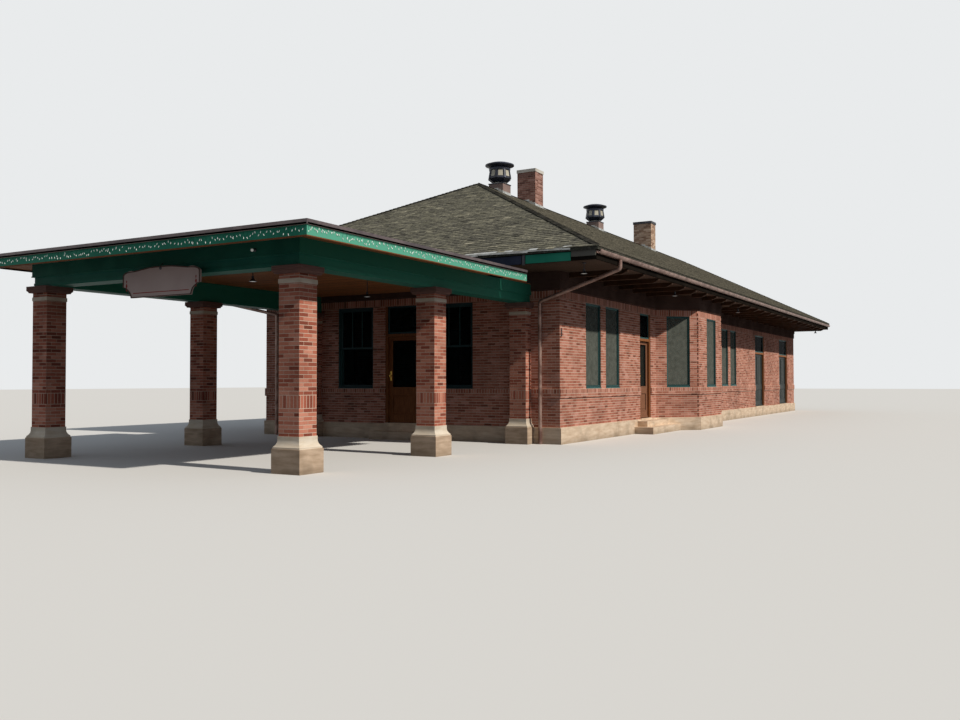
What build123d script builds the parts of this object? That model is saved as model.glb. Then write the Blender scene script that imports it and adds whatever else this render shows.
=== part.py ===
# Brick railway station with a hipped roof, a splayed bay and an open shelter at its near end.
# Units are millimetres. +Z is up, +Y runs away along the length, +X is to the right.
# The origin is on the ground in the middle of the whole building's plan.
from build123d import *
from math import atan2, cos, degrees, hypot, radians, sin
import os

os.makedirs("parts", exist_ok=True)

# Brickwork
course = 65.0
wall_thick = 330.0

# Main roof, from the ridge line at X = 0
roof_half_width = 6490.0
eave_height = 4280.0
ridge_height = 7480.0
roof_thick = 80.0
near_hip_run = 6420.0
far_hip_run = 2400.0
near_overhang = 1540.0
right_overhang = 1575.0
left_overhang = 2440.0
far_overhang = 760.0

cap_width = 170.0
cap_thick = 22.0

# Body of the building
body_length = 27810.0
foundation_height = 380.0
foundation_thick = 450.0
foundation_proud = 40.0
foundation_joint = 8.0
board_joint = 0.5
floor_thick = 80.0
soffit_drop = 280.0
head_drop = 620.0
sill_band_low = 1065.0
sill_band_high = 1275.0
sill_band_proud = 26.0
tooth_reach = 45.0
tooth_low_clear = 30.0

# Splayed bay on the right wall, measured from the near right corner
bay_start = 6790.0
bay_depth = 1000.0
bay_front_length = 2510.0

# Shelter, measured from the near face of its front pillars
pillar_width = 422.0
pillar_pitch_y = 3935.0
pilaster_proud = 267.0
pillar_right_set_in = 745.0
pillar_left_set_in = 1558.0
plinth_height = 390.0
plinth_proud = 80.0
base_stone_height = 200.0
base_stone_top_proud = 12.0
base_stone_low_proud = 66.0
base_stone_foot = 28.0
base_stone_bend = 68.0
base_stone_shoulder = 132.0
base_stone_hollow = 0.35
shaft_top = 3010.0
band_height = 72.0
band_proud = 10.0
head_height = 81.0
cap_height = 124.0
cap_fillet_height = 84.0
cap_low_proud = 55.0
cap_high_proud = 85.0
cap_bend_out = 9.0
cap_bend_up = 24.0
beam_width = 380.0
beam_height = 438.0
beam_board_height = 248.0
beam_board_proud = 35.0
shelter_overhang = 970.0
shelter_eave_run = 6970.0
board_thick = 22.0
shelter_fascia_height = 178.0
fascia_thick = 32.0
drip_edge_height = 80.0
drip_edge_drop = 28.0
drip_edge_proud = 18.0
shelter_roof_rise = 150.0

# Openings
entry_offset = 107.5
front_window_width = 1135.0
front_window_offset = 1490.0
side_window_width = 970.0
rear_pair_width = 900.0
pair_pier = 335.0
near_pair_middle = 2670.0
rear_pair_middle = 15290.0
bay_side_window_width = 760.0
bay_near_window_share = 0.52
bay_front_window_share = 0.55
bay_far_window_share = 0.48
bay_front_window_width = 1040.0
door_width = 1080.0
side_door_width = 900.0
side_door_middle = 5870.0
baggage_door_width = 1700.0
baggage_door_middle = 20360.0
freight_door_width = 1850.0
freight_door_middle = 25260.0
rear_window_spacing = 2600.0
window_reveal = 48.0
frame_face = 50.0
frame_depth = 120.0
sash_face = 45.0
sash_thick = 38.0
sash_lap = 40.0
glass_thick = 6.0

# Doors
door_set_back = 90.0
leaf_thick = 45.0
leaf_gap = 6.0
leaf_floor_gap = 8.0
pair_gap = 7.0
jamb_face = 50.0
jamb_set_back = 20.0
transom_low = 2600.0
transom_height = 70.0
transom_set_in = 20.0
stile_width = 115.0
top_rail_height = 80.0
rail_height = 180.0
bottom_rail_height = 225.0
lock_rail_height = 830.0
panel_sink = 14.0
knob_radius = 27.0
knob_reach = 62.0
knob_height = 1220.0
knob_inset = 62.0
hinge_radius = 7.0
hinge_length = 102.0
hinge_plate_width = 30.0
hinge_plate_thick = 2.5
hinge_stand_off = 8.0
hinge_clearance = 0.3
hinge_end_distance = 230.0

stop_proud = 12.0
sill_stone_height = 25.0
meeting_share = 0.5
frame_front_set = 20.0
sash_gap = 3.0
front_step_width = 1500.0
front_step_depth = 380.0
front_step_height = 200.0
side_step_low = 190.0
side_step_high = 345.0
step_tread = 253.0
step_reach = 322.0
step_near_end = 328.5

# Sign and lamps
sign_middle = 1255.0
sign_width = 1890.0
sign_height = 520.0
sign_low = 2912.0
sign_stand_off = 160.0
sign_thick = 28.0
hanger_share = 0.15
hanger_width = 25.0
hanger_lift = 20.0
lamp_metal = 3.0
lamp_rose_radius = 45.0
lamp_rose_height = 18.0
lamp_stem_radius = 9.0
lamp_neck_radius = 24.0
lamp_shade_share = 1.33
lamp_offset = 1220.0
lamp_shade_radius = 75.0
shelter_lamp_rows = (1500.0, 5000.0)
shelter_lamp_stem = 320.0
eave_lamp_places = ((-1070.0, 1065.0), (4890.0, 1185.0), (11813.0, 1185.0), (26933.0, 1185.0))
eave_lamp_stem = 130.0

# Timber at the eaves
soffit_thick = 20.0
frieze_low_height = 200.0
frieze_high_height = 200.0
frieze_low_thick = 28.0
frieze_high_thick = 50.0
rafter_pitch = 1080.0
rafter_first = 428.0
rafter_width = 90.0
rafter_height = 110.0
rafter_nose = 45.0
rafter_rake = 150.0
rafter_bay_clear = 60.0
gutter_width = 100.0
fascia_inset = 50.0
gutter_height = 75.0
gutter_metal = 4.0
gutter_floor = 55.0
gutter_bulge = 88.0
downspout_radius = 45.0
downspout_inset = 465.0
downspout_wall_height = 3300.0
downspout_drop = 200.0
downspout_bend = 70.0
outlet_set_out = 240.0

# Things on the ridge, measured along the ridge line from the near front wall
ventilator_places = (6220.0, 14120.0)
ventilator_base_width = 510.0
ventilator_base_rise = 210.0
ventilator_sides = 8
ventilator_turn = -34.5
ventilator_lid = 25.0
ventilator_lid_width = 540.0
ventilator_ring_foot = 460.0
ventilator_waist = 540.0
ventilator_waist_radius = 310.0
ventilator_crown = (270.0, 700.0)
ventilator_knob_radius = 50.0
ventilator_neck_top = 60.0
ventilator_neck_radius = 205.0
ventilator_belly = 187.0
ventilator_belly_radius = 365.0
ventilator_shoulder = 478.0
ventilator_shoulder_radius = 315.0
ventilator_ring_height = 40.0
ventilator_ring_radius = 335.0
ventilator_disc_low = 610.0
ventilator_disc_radius = 455.0
ventilator_disc_edge = 25.0
ventilator_top = 720.0
chimney_rise = 1000.0
chimney_near_y = 8400.0
chimney_near_size = (670.0, 600.0)
chimney_far_y = 19920.0
chimney_far_size = (810.0, 600.0)
chimney_cap_height = 105.0
chimney_cap_proud = 18.0
flue_wall = 170.0

# Worked out from the above
front_wall_y = pillar_pitch_y * 2 + pilaster_proud
overall_length = shelter_overhang + front_wall_y + body_length + far_overhang
origin_y = -overall_length / 2 + shelter_overhang
wall_front = origin_y + front_wall_y
wall_back = wall_front + body_length
wall_right = roof_half_width - right_overhang
wall_left = left_overhang - roof_half_width
eave_near = wall_front - near_overhang
eave_far = wall_back + far_overhang
wall_top = eave_height - soffit_drop
opening_head = wall_top - head_drop
frieze_split = wall_top - frieze_high_height
frieze_low = frieze_split - frieze_low_height
fascia_low = wall_top
ventilator_base_top = ridge_height + ventilator_base_rise
chimney_top = ridge_height + chimney_rise
pillar_right = wall_right - pillar_right_set_in
pillar_left = wall_left + pillar_left_set_in
beam_low = shaft_top + band_height + head_height + cap_height
ceiling_low = beam_low + beam_height
front_middle = (wall_left + wall_right) / 2 + entry_offset
leaf_front = -door_set_back
leaf_back = leaf_front - leaf_thick
jamb_front = -jamb_set_back

# Corners of the walls' outer face in plan, with the outside on the right hand
bay_far = bay_start + 2 * bay_depth + bay_front_length
corners = [
    (wall_left, wall_front),
    (wall_right, wall_front),
    (wall_right, wall_front + bay_start),
    (wall_right + bay_depth, wall_front + bay_start + bay_depth),
    (wall_right + bay_depth, wall_front + bay_far - bay_depth),
    (wall_right, wall_front + bay_far),
    (wall_right, wall_back),
    (wall_left, wall_back),
]
FRONT, RIGHT_NEAR, BAY_NEAR, BAY_FRONT, BAY_FAR, RIGHT_FAR, REAR, LEFT = range(8)


def edge_direction(edge):
    """Unit vector along one wall, in plan."""
    ax, ay = corners[edge]
    bx, by = corners[(edge + 1) % 8]
    length = hypot(bx - ax, by - ay)
    return (bx - ax) / length, (by - ay) / length


def edge_length(edge):
    """Length of one wall's outer face."""
    ax, ay = corners[edge]
    bx, by = corners[(edge + 1) % 8]
    return hypot(bx - ax, by - ay)


def offset_corner(corner, out):
    """Corner of the plan moved outwards, mitred between its two walls."""
    ux, uy = edge_direction((corner - 1) % 8)
    vx, vy = edge_direction(corner)
    turn = ux * vy - uy * vx
    x, y = corners[corner]
    return x + out * (vx - ux) / turn * -1, y + out * (vy - uy) / turn * -1


def offset_along(edge, distance, out):
    """Point at a distance along one wall, moved outwards from its face."""
    ux, uy = edge_direction(edge)
    x, y = corners[edge]
    return x + ux * distance + uy * out, y + uy * distance - ux * out


def run_outline(edge, inner, outer, start=None, end=None):
    """Plan of a length of wall, mitred at a corner where no start or end is given."""
    if start is None:
        first, last = offset_corner(edge, inner), offset_corner(edge, outer)
    else:
        first, last = offset_along(edge, start, inner), offset_along(edge, start, outer)
    if end is None:
        third, fourth = offset_corner((edge + 1) % 8, outer), offset_corner((edge + 1) % 8, inner)
    else:
        third, fourth = offset_along(edge, end, outer), offset_along(edge, end, inner)
    return [first, last, third, fourth]


def prism(outline, low, high, mode=Mode.ADD):
    """Upright prism on a plan outline, added to the open part."""
    with BuildSketch(Plane.XY.offset(low)) as plan:
        with BuildLine():
            Polyline(*outline, close=True)
        make_face()
    extrude(plan.sketch, amount=high - low, mode=mode)


def face_plane(edge):
    """Plane on a wall's outer face: x along the wall, y up, z outwards."""
    ux, uy = edge_direction(edge)
    x, y = corners[edge]
    return Plane(origin=(x, y, 0), x_dir=(ux, uy, 0), z_dir=(uy, -ux, 0))


def face_box(edge, middle, width, low, high, back, front, mode=Mode.ADD):
    """Box on a wall: its middle along the wall, its heights, and its depths from the face."""
    with BuildSketch(face_plane(edge).offset(back)) as elevation:
        with Locations((middle, (low + high) / 2)):
            Rectangle(width, high - low)
    extrude(elevation.sketch, amount=front - back, mode=mode)


def face_ring(edge, middle, width, low, high, back, front, face):
    """Rectangular frame on a wall, with members of one face width."""
    with BuildSketch(face_plane(edge).offset(back)) as elevation:
        with Locations((middle, (low + high) / 2)):
            Rectangle(width, high - low)
            Rectangle(width - 2 * face, high - low - 2 * face, mode=Mode.SUBTRACT)
    extrude(elevation.sketch, amount=front - back)


def save(part, name):
    """Label one finished piece and write its file."""
    part.label = name
    export_step(part, f"parts/{name}.step")


# Every window: wall, middle along it, width
side_pairs = [(near_pair_middle, side_window_width), (rear_pair_middle, rear_pair_width)]
windows = [
    (FRONT, front_middle - wall_left - front_window_offset, front_window_width),
    (FRONT, front_middle - wall_left + front_window_offset, front_window_width),
    (BAY_NEAR, edge_length(BAY_NEAR) * bay_near_window_share, bay_side_window_width),
    (BAY_FRONT, bay_front_length * bay_front_window_share, bay_front_window_width),
    (BAY_FAR, edge_length(BAY_FAR) * bay_far_window_share, bay_side_window_width),
]
for pair_middle, pair_width in side_pairs:
    for side in (-1, 1):
        offset = side * (pair_width + pair_pier) / 2
        on_right = pair_middle + offset
        edge = RIGHT_NEAR if pair_middle < bay_start else RIGHT_FAR
        along = on_right if edge == RIGHT_NEAR else on_right - bay_far
        windows.append((edge, along, pair_width))
left_pair_middles = (near_pair_middle, bay_start + bay_depth + bay_front_length / 2, rear_pair_middle,
                     (baggage_door_middle + freight_door_middle) / 2)
for pair_middle in left_pair_middles:
    for side in (-1, 1):
        offset = side * (side_window_width + pair_pier) / 2
        windows.append((LEFT, body_length - pair_middle + offset, side_window_width))
for side in (-1, 1):
    windows.append((REAR, edge_length(REAR) / 2 + side * rear_window_spacing / 2, side_window_width))

# Every doorway: name, wall, middle along it, width
doorways = {
    "front": (FRONT, front_middle - wall_left, door_width),
    "side": (RIGHT_NEAR, side_door_middle, side_door_width),
    "baggage": (RIGHT_FAR, baggage_door_middle - bay_far, baggage_door_width),
    "freight": (RIGHT_FAR, freight_door_middle - bay_far, freight_door_width),
}


def wall_run(edge, start=None, end=None):
    """Length of brick wall with its projecting sill band and its window holes."""
    prism(run_outline(edge, -wall_thick, 0, start, end), foundation_height, wall_top)
    prism(run_outline(edge, -wall_thick, sill_band_proud, start, end), sill_band_low, sill_band_high)
    first = 0 if start is None else start
    last = edge_length(edge) if end is None else end
    for window_edge, middle, width in windows:
        if window_edge == edge and first < middle < last:
            face_box(edge, middle, width, sill_band_high, opening_head,
                     -wall_thick - 1, 1, mode=Mode.SUBTRACT)


def main_plan(inset):
    """Plan of the long room, without the bay, this far inside the walls' outer face."""
    return [(wall_left + inset, wall_front + inset), (wall_right - inset, wall_front + inset),
            (wall_right - inset, wall_back - inset), (wall_left + inset, wall_back - inset)]


def bay_plan(back, out):
    """Plan inside the bay, from a line behind the right wall's face out to its three walls."""
    lean = edge_direction(BAY_NEAR)
    near_x, near_y = offset_corner(3, out)
    far_x, far_y = offset_corner(4, out)
    inward = (near_x - wall_right - back) * lean[1] / lean[0]
    return [(wall_right + back, near_y - inward), (near_x, near_y), (far_x, far_y),
            (wall_right + back, far_y + inward)]


def mitre_cuts(inner, outer, low, high, gap):
    """Thin cuts through the open part along the mitre at every corner of the plan."""
    for corner in range(8):
        ax, ay = offset_corner(corner, outer)
        bx, by = offset_corner(corner, inner)
        reach = hypot(bx - ax, by - ay)
        across_x, across_y = (by - ay) / reach * gap / 2, (ax - bx) / reach * gap / 2
        prism([(ax - across_x, ay - across_y), (bx - across_x, by - across_y),
               (bx + across_x, by + across_y), (ax + across_x, ay + across_y)],
              low, high, mode=Mode.SUBTRACT)


def door_sides(name):
    """Distances along its wall of a doorway's two sides."""
    edge, middle, width = doorways[name]
    return middle - width / 2, middle + width / 2


# Foundation of cut stone, in lengths with joints between them
with BuildPart() as foundation:
    for edge in range(8):
        prism(run_outline(edge, foundation_proud - foundation_thick, foundation_proud),
              0, foundation_height)
    mitre_cuts(foundation_proud - foundation_thick - 100, foundation_proud + 100,
               0, foundation_height, foundation_joint)
save(foundation.part, "foundation")

foundation_inner = foundation_proud - foundation_thick
with BuildPart() as floor:
    prism(main_plan(-foundation_inner), foundation_height - floor_thick, foundation_height)
    prism(bay_plan(foundation_inner + board_joint, foundation_inner),
          foundation_height - floor_thick, foundation_height)
save(floor.part, "floor")

# Brick walls, each split beside its doorways
with BuildPart() as front_wall:
    near_side, far_side = door_sides("front")
    wall_run(FRONT, None, near_side)
    wall_run(FRONT, far_side, None)
save(front_wall.part, "front_wall")

with BuildPart() as right_wall:
    near_side, far_side = door_sides("side")
    wall_run(RIGHT_NEAR, None, near_side)
    wall_run(RIGHT_NEAR, far_side, None)
    baggage_sides, freight_sides = door_sides("baggage"), door_sides("freight")
    wall_run(RIGHT_FAR, None, baggage_sides[0])
    wall_run(RIGHT_FAR, baggage_sides[1], freight_sides[0])
    wall_run(RIGHT_FAR, freight_sides[1], None)
save(right_wall.part, "right_wall")

# The bay's side walls carry the tips of square-ended bricks that run past its two corners
def tooth_courses():
    """Foot of every second course that has a projecting brick, clear of the sill band."""
    feet = []
    for low, high in ((foundation_height, sill_band_low), (sill_band_high, frieze_low)):
        foot = low + course
        while foot + course < high - tooth_low_clear:
            feet.append(foot)
            foot += 2 * course
    return feet


with BuildPart() as bay_side_walls:
    wall_run(BAY_NEAR)
    wall_run(BAY_FAR)
    for corner, way in ((3, -1), (4, 1)):
        x, y = corners[corner]
        back = y + way * tooth_reach
        for foot in tooth_courses():
            prism([(x, y), (x, back), (x - tooth_reach, back)], foot, foot + course)
save(bay_side_walls.part, "bay_side_walls")

with BuildPart() as bay_front_wall:
    wall_run(BAY_FRONT)
save(bay_front_wall.part, "bay_front_wall")

with BuildPart() as rear_wall:
    wall_run(REAR)
save(rear_wall.part, "rear_wall")

with BuildPart() as left_wall:
    wall_run(LEFT)
save(left_wall.part, "left_wall")

with BuildPart() as door_lintels:
    for name, (edge, middle, width) in doorways.items():
        face_box(edge, middle, width, opening_head, wall_top, -wall_thick, 0)
save(door_lintels.part, "door_lintels")

with BuildPart() as room_ceiling:
    prism(main_plan(wall_thick), wall_top - board_thick, wall_top)
    prism(bay_plan(-wall_thick + board_joint, -wall_thick), wall_top - board_thick, wall_top)
save(room_ceiling.part, "room_ceiling")

# Two-band timber frieze round the tops of the walls
with BuildPart() as frieze:
    for thick, low, high in ((frieze_low_thick, frieze_low, frieze_split),
                             (frieze_high_thick, frieze_split, wall_top)):
        for edge in range(8):
            prism(run_outline(edge, 0, thick), low, high)
    mitre_cuts(-20, frieze_high_thick + 20, frieze_low, wall_top, board_joint)
save(frieze.part, "frieze")

# Soffit boards and fascia of the main eaves
fascia_right = roof_half_width - fascia_inset
fascia_near = eave_near + fascia_inset
fascia_far = eave_far - fascia_inset
roof_pitch = (ridge_height - eave_height) / roof_half_width
fascia_top = eave_height - roof_thick + fascia_inset * roof_pitch
with BuildPart() as soffit:
    with BuildSketch(Plane.XY.offset(wall_top)):
        with Locations((0, (fascia_near + fascia_far) / 2)):
            Rectangle(2 * (fascia_right - fascia_thick), fascia_far - fascia_near - 2 * fascia_thick)
        with BuildLine():
            Polyline(*[offset_corner(corner, -wall_thick) for corner in range(8)], close=True)
        make_face(mode=Mode.SUBTRACT)
    extrude(amount=soffit_thick)
save(soffit.part, "soffit")

with BuildPart() as eave_fascia:
    with BuildSketch(Plane.XY.offset(fascia_low)):
        for y in (fascia_near + fascia_thick / 2, fascia_far - fascia_thick / 2):
            with Locations((0, y)):
                Rectangle(2 * fascia_right, fascia_thick)
        for x in (fascia_thick / 2 - fascia_right, fascia_right - fascia_thick / 2):
            with Locations((x, (fascia_near + fascia_far) / 2)):
                Rectangle(fascia_thick, fascia_far - fascia_near - 2 * (fascia_thick + board_joint))
    extrude(amount=fascia_top - fascia_low)
save(eave_fascia.part, "eave_fascia")

# Rafter tails under the side eaves, each with a raked nose
with BuildPart() as rafter_tails:
    count = int((body_length - rafter_first - rafter_width) // rafter_pitch)
    for sign, wall_x in ((1, wall_right), (-1, wall_left)):
        start = wall_x + sign * frieze_high_thick
        end = sign * (fascia_right - fascia_thick)
        for place in range(count + 1):
            y = wall_front + rafter_first + rafter_width / 2 + place * rafter_pitch
            along_right = y - wall_front
            in_bay = sign > 0 and bay_start - rafter_bay_clear < along_right < bay_far + rafter_bay_clear
            first = start if not in_bay else wall_right + bay_depth + frieze_high_thick
            with BuildSketch(Plane(origin=(0, y - rafter_width / 2, 0), x_dir=(1, 0, 0), z_dir=(0, 1, 0))):
                with BuildLine():
                    Polyline((first, -wall_top), (end, -wall_top), (end, -wall_top + rafter_nose),
                             (end - sign * rafter_rake, -wall_top + rafter_height),
                             (first, -wall_top + rafter_height), close=True)
                make_face()
            extrude(amount=rafter_width)
save(rafter_tails.part, "rafter_tails")


near_peak = (0, eave_near + near_hip_run)
far_peak = (0, eave_far - far_hip_run)
near_right, near_left = (roof_half_width, eave_near), (-roof_half_width, eave_near)
far_right, far_left = (roof_half_width, eave_far), (-roof_half_width, eave_far)
slopes = {
    "right": (near_right, (-1, 0), roof_half_width),
    "left": (near_left, (1, 0), roof_half_width),
    "near": (near_right, (0, 1), near_hip_run),
    "far": (far_right, (0, -1), far_hip_run),
}


def slope_slab(slope, plan, low, high):
    """Slab on one slope of the main roof, between two heights over its upper face."""
    eave_point, inward, run = slopes[slope]
    rise = ridge_height - eave_height
    normal = Vector(-inward[0] * rise, -inward[1] * rise, run)
    with BuildPart() as slab:
        prism(plan, eave_height - roof_thick, ridge_height + 3 * roof_thick)
        split(bisect_by=Plane(origin=(*eave_point, eave_height + high), z_dir=normal), keep=Keep.BOTTOM)
        split(bisect_by=Plane(origin=(*eave_point, eave_height + low), z_dir=normal), keep=Keep.TOP)
    return slab.part


save(slope_slab("right", [near_right, far_right, far_peak, near_peak], -roof_thick, 0), "roof_right")
save(slope_slab("left", [near_left, near_peak, far_peak, far_left], -roof_thick, 0), "roof_left")
save(slope_slab("near", [near_left, near_right, near_peak], -roof_thick, 0), "roof_near")
save(slope_slab("far", [far_right, far_left, far_peak], -roof_thick, 0), "roof_far")


def toward(start, end, distance):
    """Point at a distance from one point of the plan towards another."""
    reach = hypot(end[0] - start[0], end[1] - start[1])
    return (start[0] + (end[0] - start[0]) * distance / reach,
            start[1] + (end[1] - start[1]) * distance / reach)


def cap_pieces(low_end, high_end, eave_side, side_slope, end_slope):
    """Two strips of a hip's cap, one on each slope beside it."""
    strips = []
    for slope, eave_corner in ((side_slope, eave_side[0]), (end_slope, eave_side[1])):
        low_edge = toward(low_end, eave_corner, cap_width * 1.41)
        high_edge = (high_end[0] + low_edge[0] - low_end[0], high_end[1] + low_edge[1] - low_end[1])
        strips.append(slope_slab(slope, [low_end, low_edge, high_edge, high_end], 0, cap_thick))
    return strips


# Gutters along the side eaves, an open channel with a curved outer face
with BuildPart() as gutters:
    for sign in (1, -1):
        back = sign * fascia_right
        top = eave_height - roof_thick
        plane = Plane(origin=(back, fascia_near, top), x_dir=(sign, 0, 0), z_dir=(0, -sign, 0))
        with BuildSketch(plane):
            with BuildLine():
                Line((0, 0), (0, -gutter_height))
                Line((0, -gutter_height), (gutter_floor, -gutter_height))
                ThreePointArc((gutter_floor, -gutter_height),
                              (gutter_bulge, -gutter_height * 0.62), (gutter_width, 0))
                Line((gutter_width, 0), (gutter_width - gutter_metal, 0))
                ThreePointArc((gutter_width - gutter_metal, 0),
                              (gutter_bulge - gutter_metal, -gutter_height * 0.6),
                              (gutter_floor, gutter_metal - gutter_height))
                Polyline((gutter_floor, gutter_metal - gutter_height),
                         (gutter_metal, gutter_metal - gutter_height), (gutter_metal, 0), (0, 0))
            make_face()
        extrude(amount=-sign * (fascia_far - fascia_near))
save(gutters.part, "gutters")

# Downspouts: out of the gutter, back under the soffit to the front wall, and down to the ground
with BuildPart() as downspouts:
    for sign, gutter_side in ((1, wall_right - downspout_inset), (-1, wall_left + downspout_inset)):
        outlet_x = sign * (fascia_right + gutter_width * 0.45)
        outlet_z = eave_height - roof_thick - gutter_height
        wall_y = wall_front - foundation_proud - downspout_radius - 1
        outlet_y = wall_front - outlet_set_out
        route = [
            (outlet_x, outlet_y, outlet_z),
            (outlet_x, outlet_y, outlet_z - downspout_drop),
            (gutter_side, wall_y, downspout_wall_height),
            (gutter_side, wall_y, 0),
        ]
        with BuildLine():
            path = FilletPolyline(*route, radius=downspout_bend)
        with BuildSketch(Plane(origin=route[0], z_dir=(0, 0, -1))):
            Circle(downspout_radius)
        sweep(path=path)
save(downspouts.part, "downspouts")

# Chimneys and ventilator bases seated astride the ridge


def ridge_seat(width, depth, y, top, half):
    """Upright block with its foot notched to sit on both slopes of the roof."""
    slope = (ridge_height - eave_height) / roof_half_width
    foot = ridge_height - slope * half
    with BuildSketch(Plane(origin=(0, y - depth / 2, 0), x_dir=(1, 0, 0), z_dir=(0, 1, 0))) as section:
        with BuildLine():
            Polyline((-half, -foot), (0, -ridge_height), (half, -foot), (half, -top), (-half, -top),
                     close=True)
        make_face()
    extrude(section.sketch, amount=depth)


chimneys = ((chimney_near_y, chimney_near_size), (chimney_far_y, chimney_far_size))
with BuildPart() as chimney_stacks:
    for distance, (width, depth) in chimneys:
        ridge_seat(width, depth, wall_front + distance, chimney_top, width / 2)
save(chimney_stacks.part, "chimney_stacks")

with BuildPart() as chimney_caps:
    for distance, (width, depth) in chimneys:
        with BuildSketch(Plane.XY.offset(chimney_top)):
            with Locations((0, wall_front + distance)):
                Rectangle(width + 2 * chimney_cap_proud, depth + 2 * chimney_cap_proud)
                Rectangle(width - 2 * flue_wall, depth - 2 * flue_wall, mode=Mode.SUBTRACT)
        extrude(amount=chimney_cap_height)
save(chimney_caps.part, "chimney_caps")

with BuildPart() as ventilator_bases:
    for distance in ventilator_places:
        half = ventilator_base_width / 2
        ridge_seat(ventilator_base_width, ventilator_base_width, wall_front + distance,
                   ventilator_base_top, half)
save(ventilator_bases.part, "ventilator_bases")

with BuildPart() as ventilators:
    for distance in ventilator_places:
        y = wall_front + distance
        with BuildSketch(Plane(origin=(0, y, ventilator_base_top))):
            Rectangle(ventilator_lid_width, ventilator_lid_width)
        extrude(amount=ventilator_lid)
        levels = (
            (ventilator_lid, ventilator_neck_radius),
            (ventilator_neck_top, ventilator_neck_radius),
            (ventilator_belly, ventilator_belly_radius),
            (ventilator_shoulder, ventilator_shoulder_radius),
        )
        for height, radius in levels:
            with BuildSketch(Plane(origin=(0, y, ventilator_base_top + height))):
                RegularPolygon(radius, ventilator_sides, rotation=ventilator_turn)
        loft(ruled=True)
        rim_top = ventilator_disc_low + ventilator_disc_edge
        ring_top = ventilator_ring_foot + ventilator_ring_height
        crown_x, crown_z = ventilator_crown
        with BuildSketch(Plane(origin=(0, y, ventilator_base_top), x_dir=(1, 0, 0), z_dir=(0, -1, 0))):
            with BuildLine():
                Polyline((0, ventilator_top), (0, ventilator_ring_foot),
                         (ventilator_ring_radius, ventilator_ring_foot), (ventilator_ring_radius, ring_top),
                         (ventilator_waist_radius, ventilator_waist),
                         (ventilator_disc_radius, ventilator_disc_low), (ventilator_disc_radius, rim_top))
                ThreePointArc((ventilator_disc_radius, rim_top), (crown_x, crown_z),
                              (ventilator_knob_radius, ventilator_top))
                Line((ventilator_knob_radius, ventilator_top), (0, ventilator_top))
            make_face()
        revolve(axis=Axis((0, y, 0), (0, 0, 1)), revolution_arc=360)
save(ventilators.part, "ventilators")

# Shelter pillars: plinth, moulded base stone, brick shaft, stone band, brick head, timber cap
pillar_xs = (pillar_left + pillar_width / 2, pillar_right - pillar_width / 2)
pillar_rows = (0.0, pillar_pitch_y)
pilaster_face = 2 * pillar_pitch_y


def pillar_box(proud, low, high):
    """The same square block round every pillar and pilaster, this far proud of its shaft."""
    with BuildSketch(Plane.XY.offset(low)) as plan:
        for x in pillar_xs:
            for row in pillar_rows:
                with Locations((x, origin_y + row + pillar_width / 2)):
                    Rectangle(pillar_width + 2 * proud, pillar_width + 2 * proud)
            depth = pilaster_proud + proud
            with Locations((x, wall_front - depth / 2)):
                Rectangle(pillar_width + 2 * proud, depth)
    extrude(plan.sketch, amount=high - low)


with BuildPart() as pillar_plinths:
    with BuildSketch(Plane.XY):
        side = pillar_width + 2 * plinth_proud
        for x in pillar_xs:
            for row in pillar_rows:
                with Locations((x, origin_y + row + pillar_width / 2)):
                    Rectangle(side, side)
            depth = pilaster_proud + plinth_proud - foundation_proud
            with Locations((x, wall_front - foundation_proud - depth / 2)):
                Rectangle(side, depth)
    extrude(amount=plinth_height)
    with BuildSketch(Plane.XY.offset(foundation_height)):
        for x in pillar_xs:
            with Locations((x, wall_front - foundation_proud / 2)):
                Rectangle(side, foundation_proud)
    extrude(amount=plinth_height - foundation_height)
save(pillar_plinths.part, "pillar_plinths")


def base_profile(middle):
    """Section of a moulded base stone: a hollow splay under a short upright face."""
    foot = plinth_height
    rise = base_stone_height
    half_top = pillar_width / 2 + base_stone_top_proud
    half_low = pillar_width / 2 + base_stone_low_proud
    bend = half_top + (half_low - half_top) * base_stone_hollow
    with BuildLine() as outline:
        Polyline((middle + half_low, foot + base_stone_foot), (middle + half_low, foot),
                 (middle - half_low, foot), (middle - half_low, foot + base_stone_foot))
        ThreePointArc((middle - half_low, foot + base_stone_foot), (middle - bend, foot + base_stone_bend),
                      (middle - half_top, foot + base_stone_shoulder))
        Polyline((middle - half_top, foot + base_stone_shoulder), (middle - half_top, foot + rise),
                 (middle + half_top, foot + rise), (middle + half_top, foot + base_stone_shoulder))
        ThreePointArc((middle + half_top, foot + base_stone_shoulder), (middle + bend, foot + base_stone_bend),
                      (middle + half_low, foot + base_stone_foot))
    make_face(outline.edges())


def cap_profile(middle):
    """Section of a timber cap: a cove under a square fillet."""
    foot = head_top
    shoulder = beam_low - cap_fillet_height
    narrow = pillar_width / 2 + cap_low_proud
    wide = pillar_width / 2 + cap_high_proud
    bend_out, bend_up = narrow + cap_bend_out, foot + cap_bend_up
    with BuildLine() as outline:
        Line((middle - narrow, foot), (middle + narrow, foot))
        ThreePointArc((middle + narrow, foot), (middle + bend_out, bend_up), (middle + wide, shoulder))
        Polyline((middle + wide, shoulder), (middle + wide, beam_low), (middle - wide, beam_low),
                 (middle - wide, shoulder))
        ThreePointArc((middle - wide, shoulder), (middle - bend_out, bend_up), (middle - narrow, foot))
    make_face(outline.edges())


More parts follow.
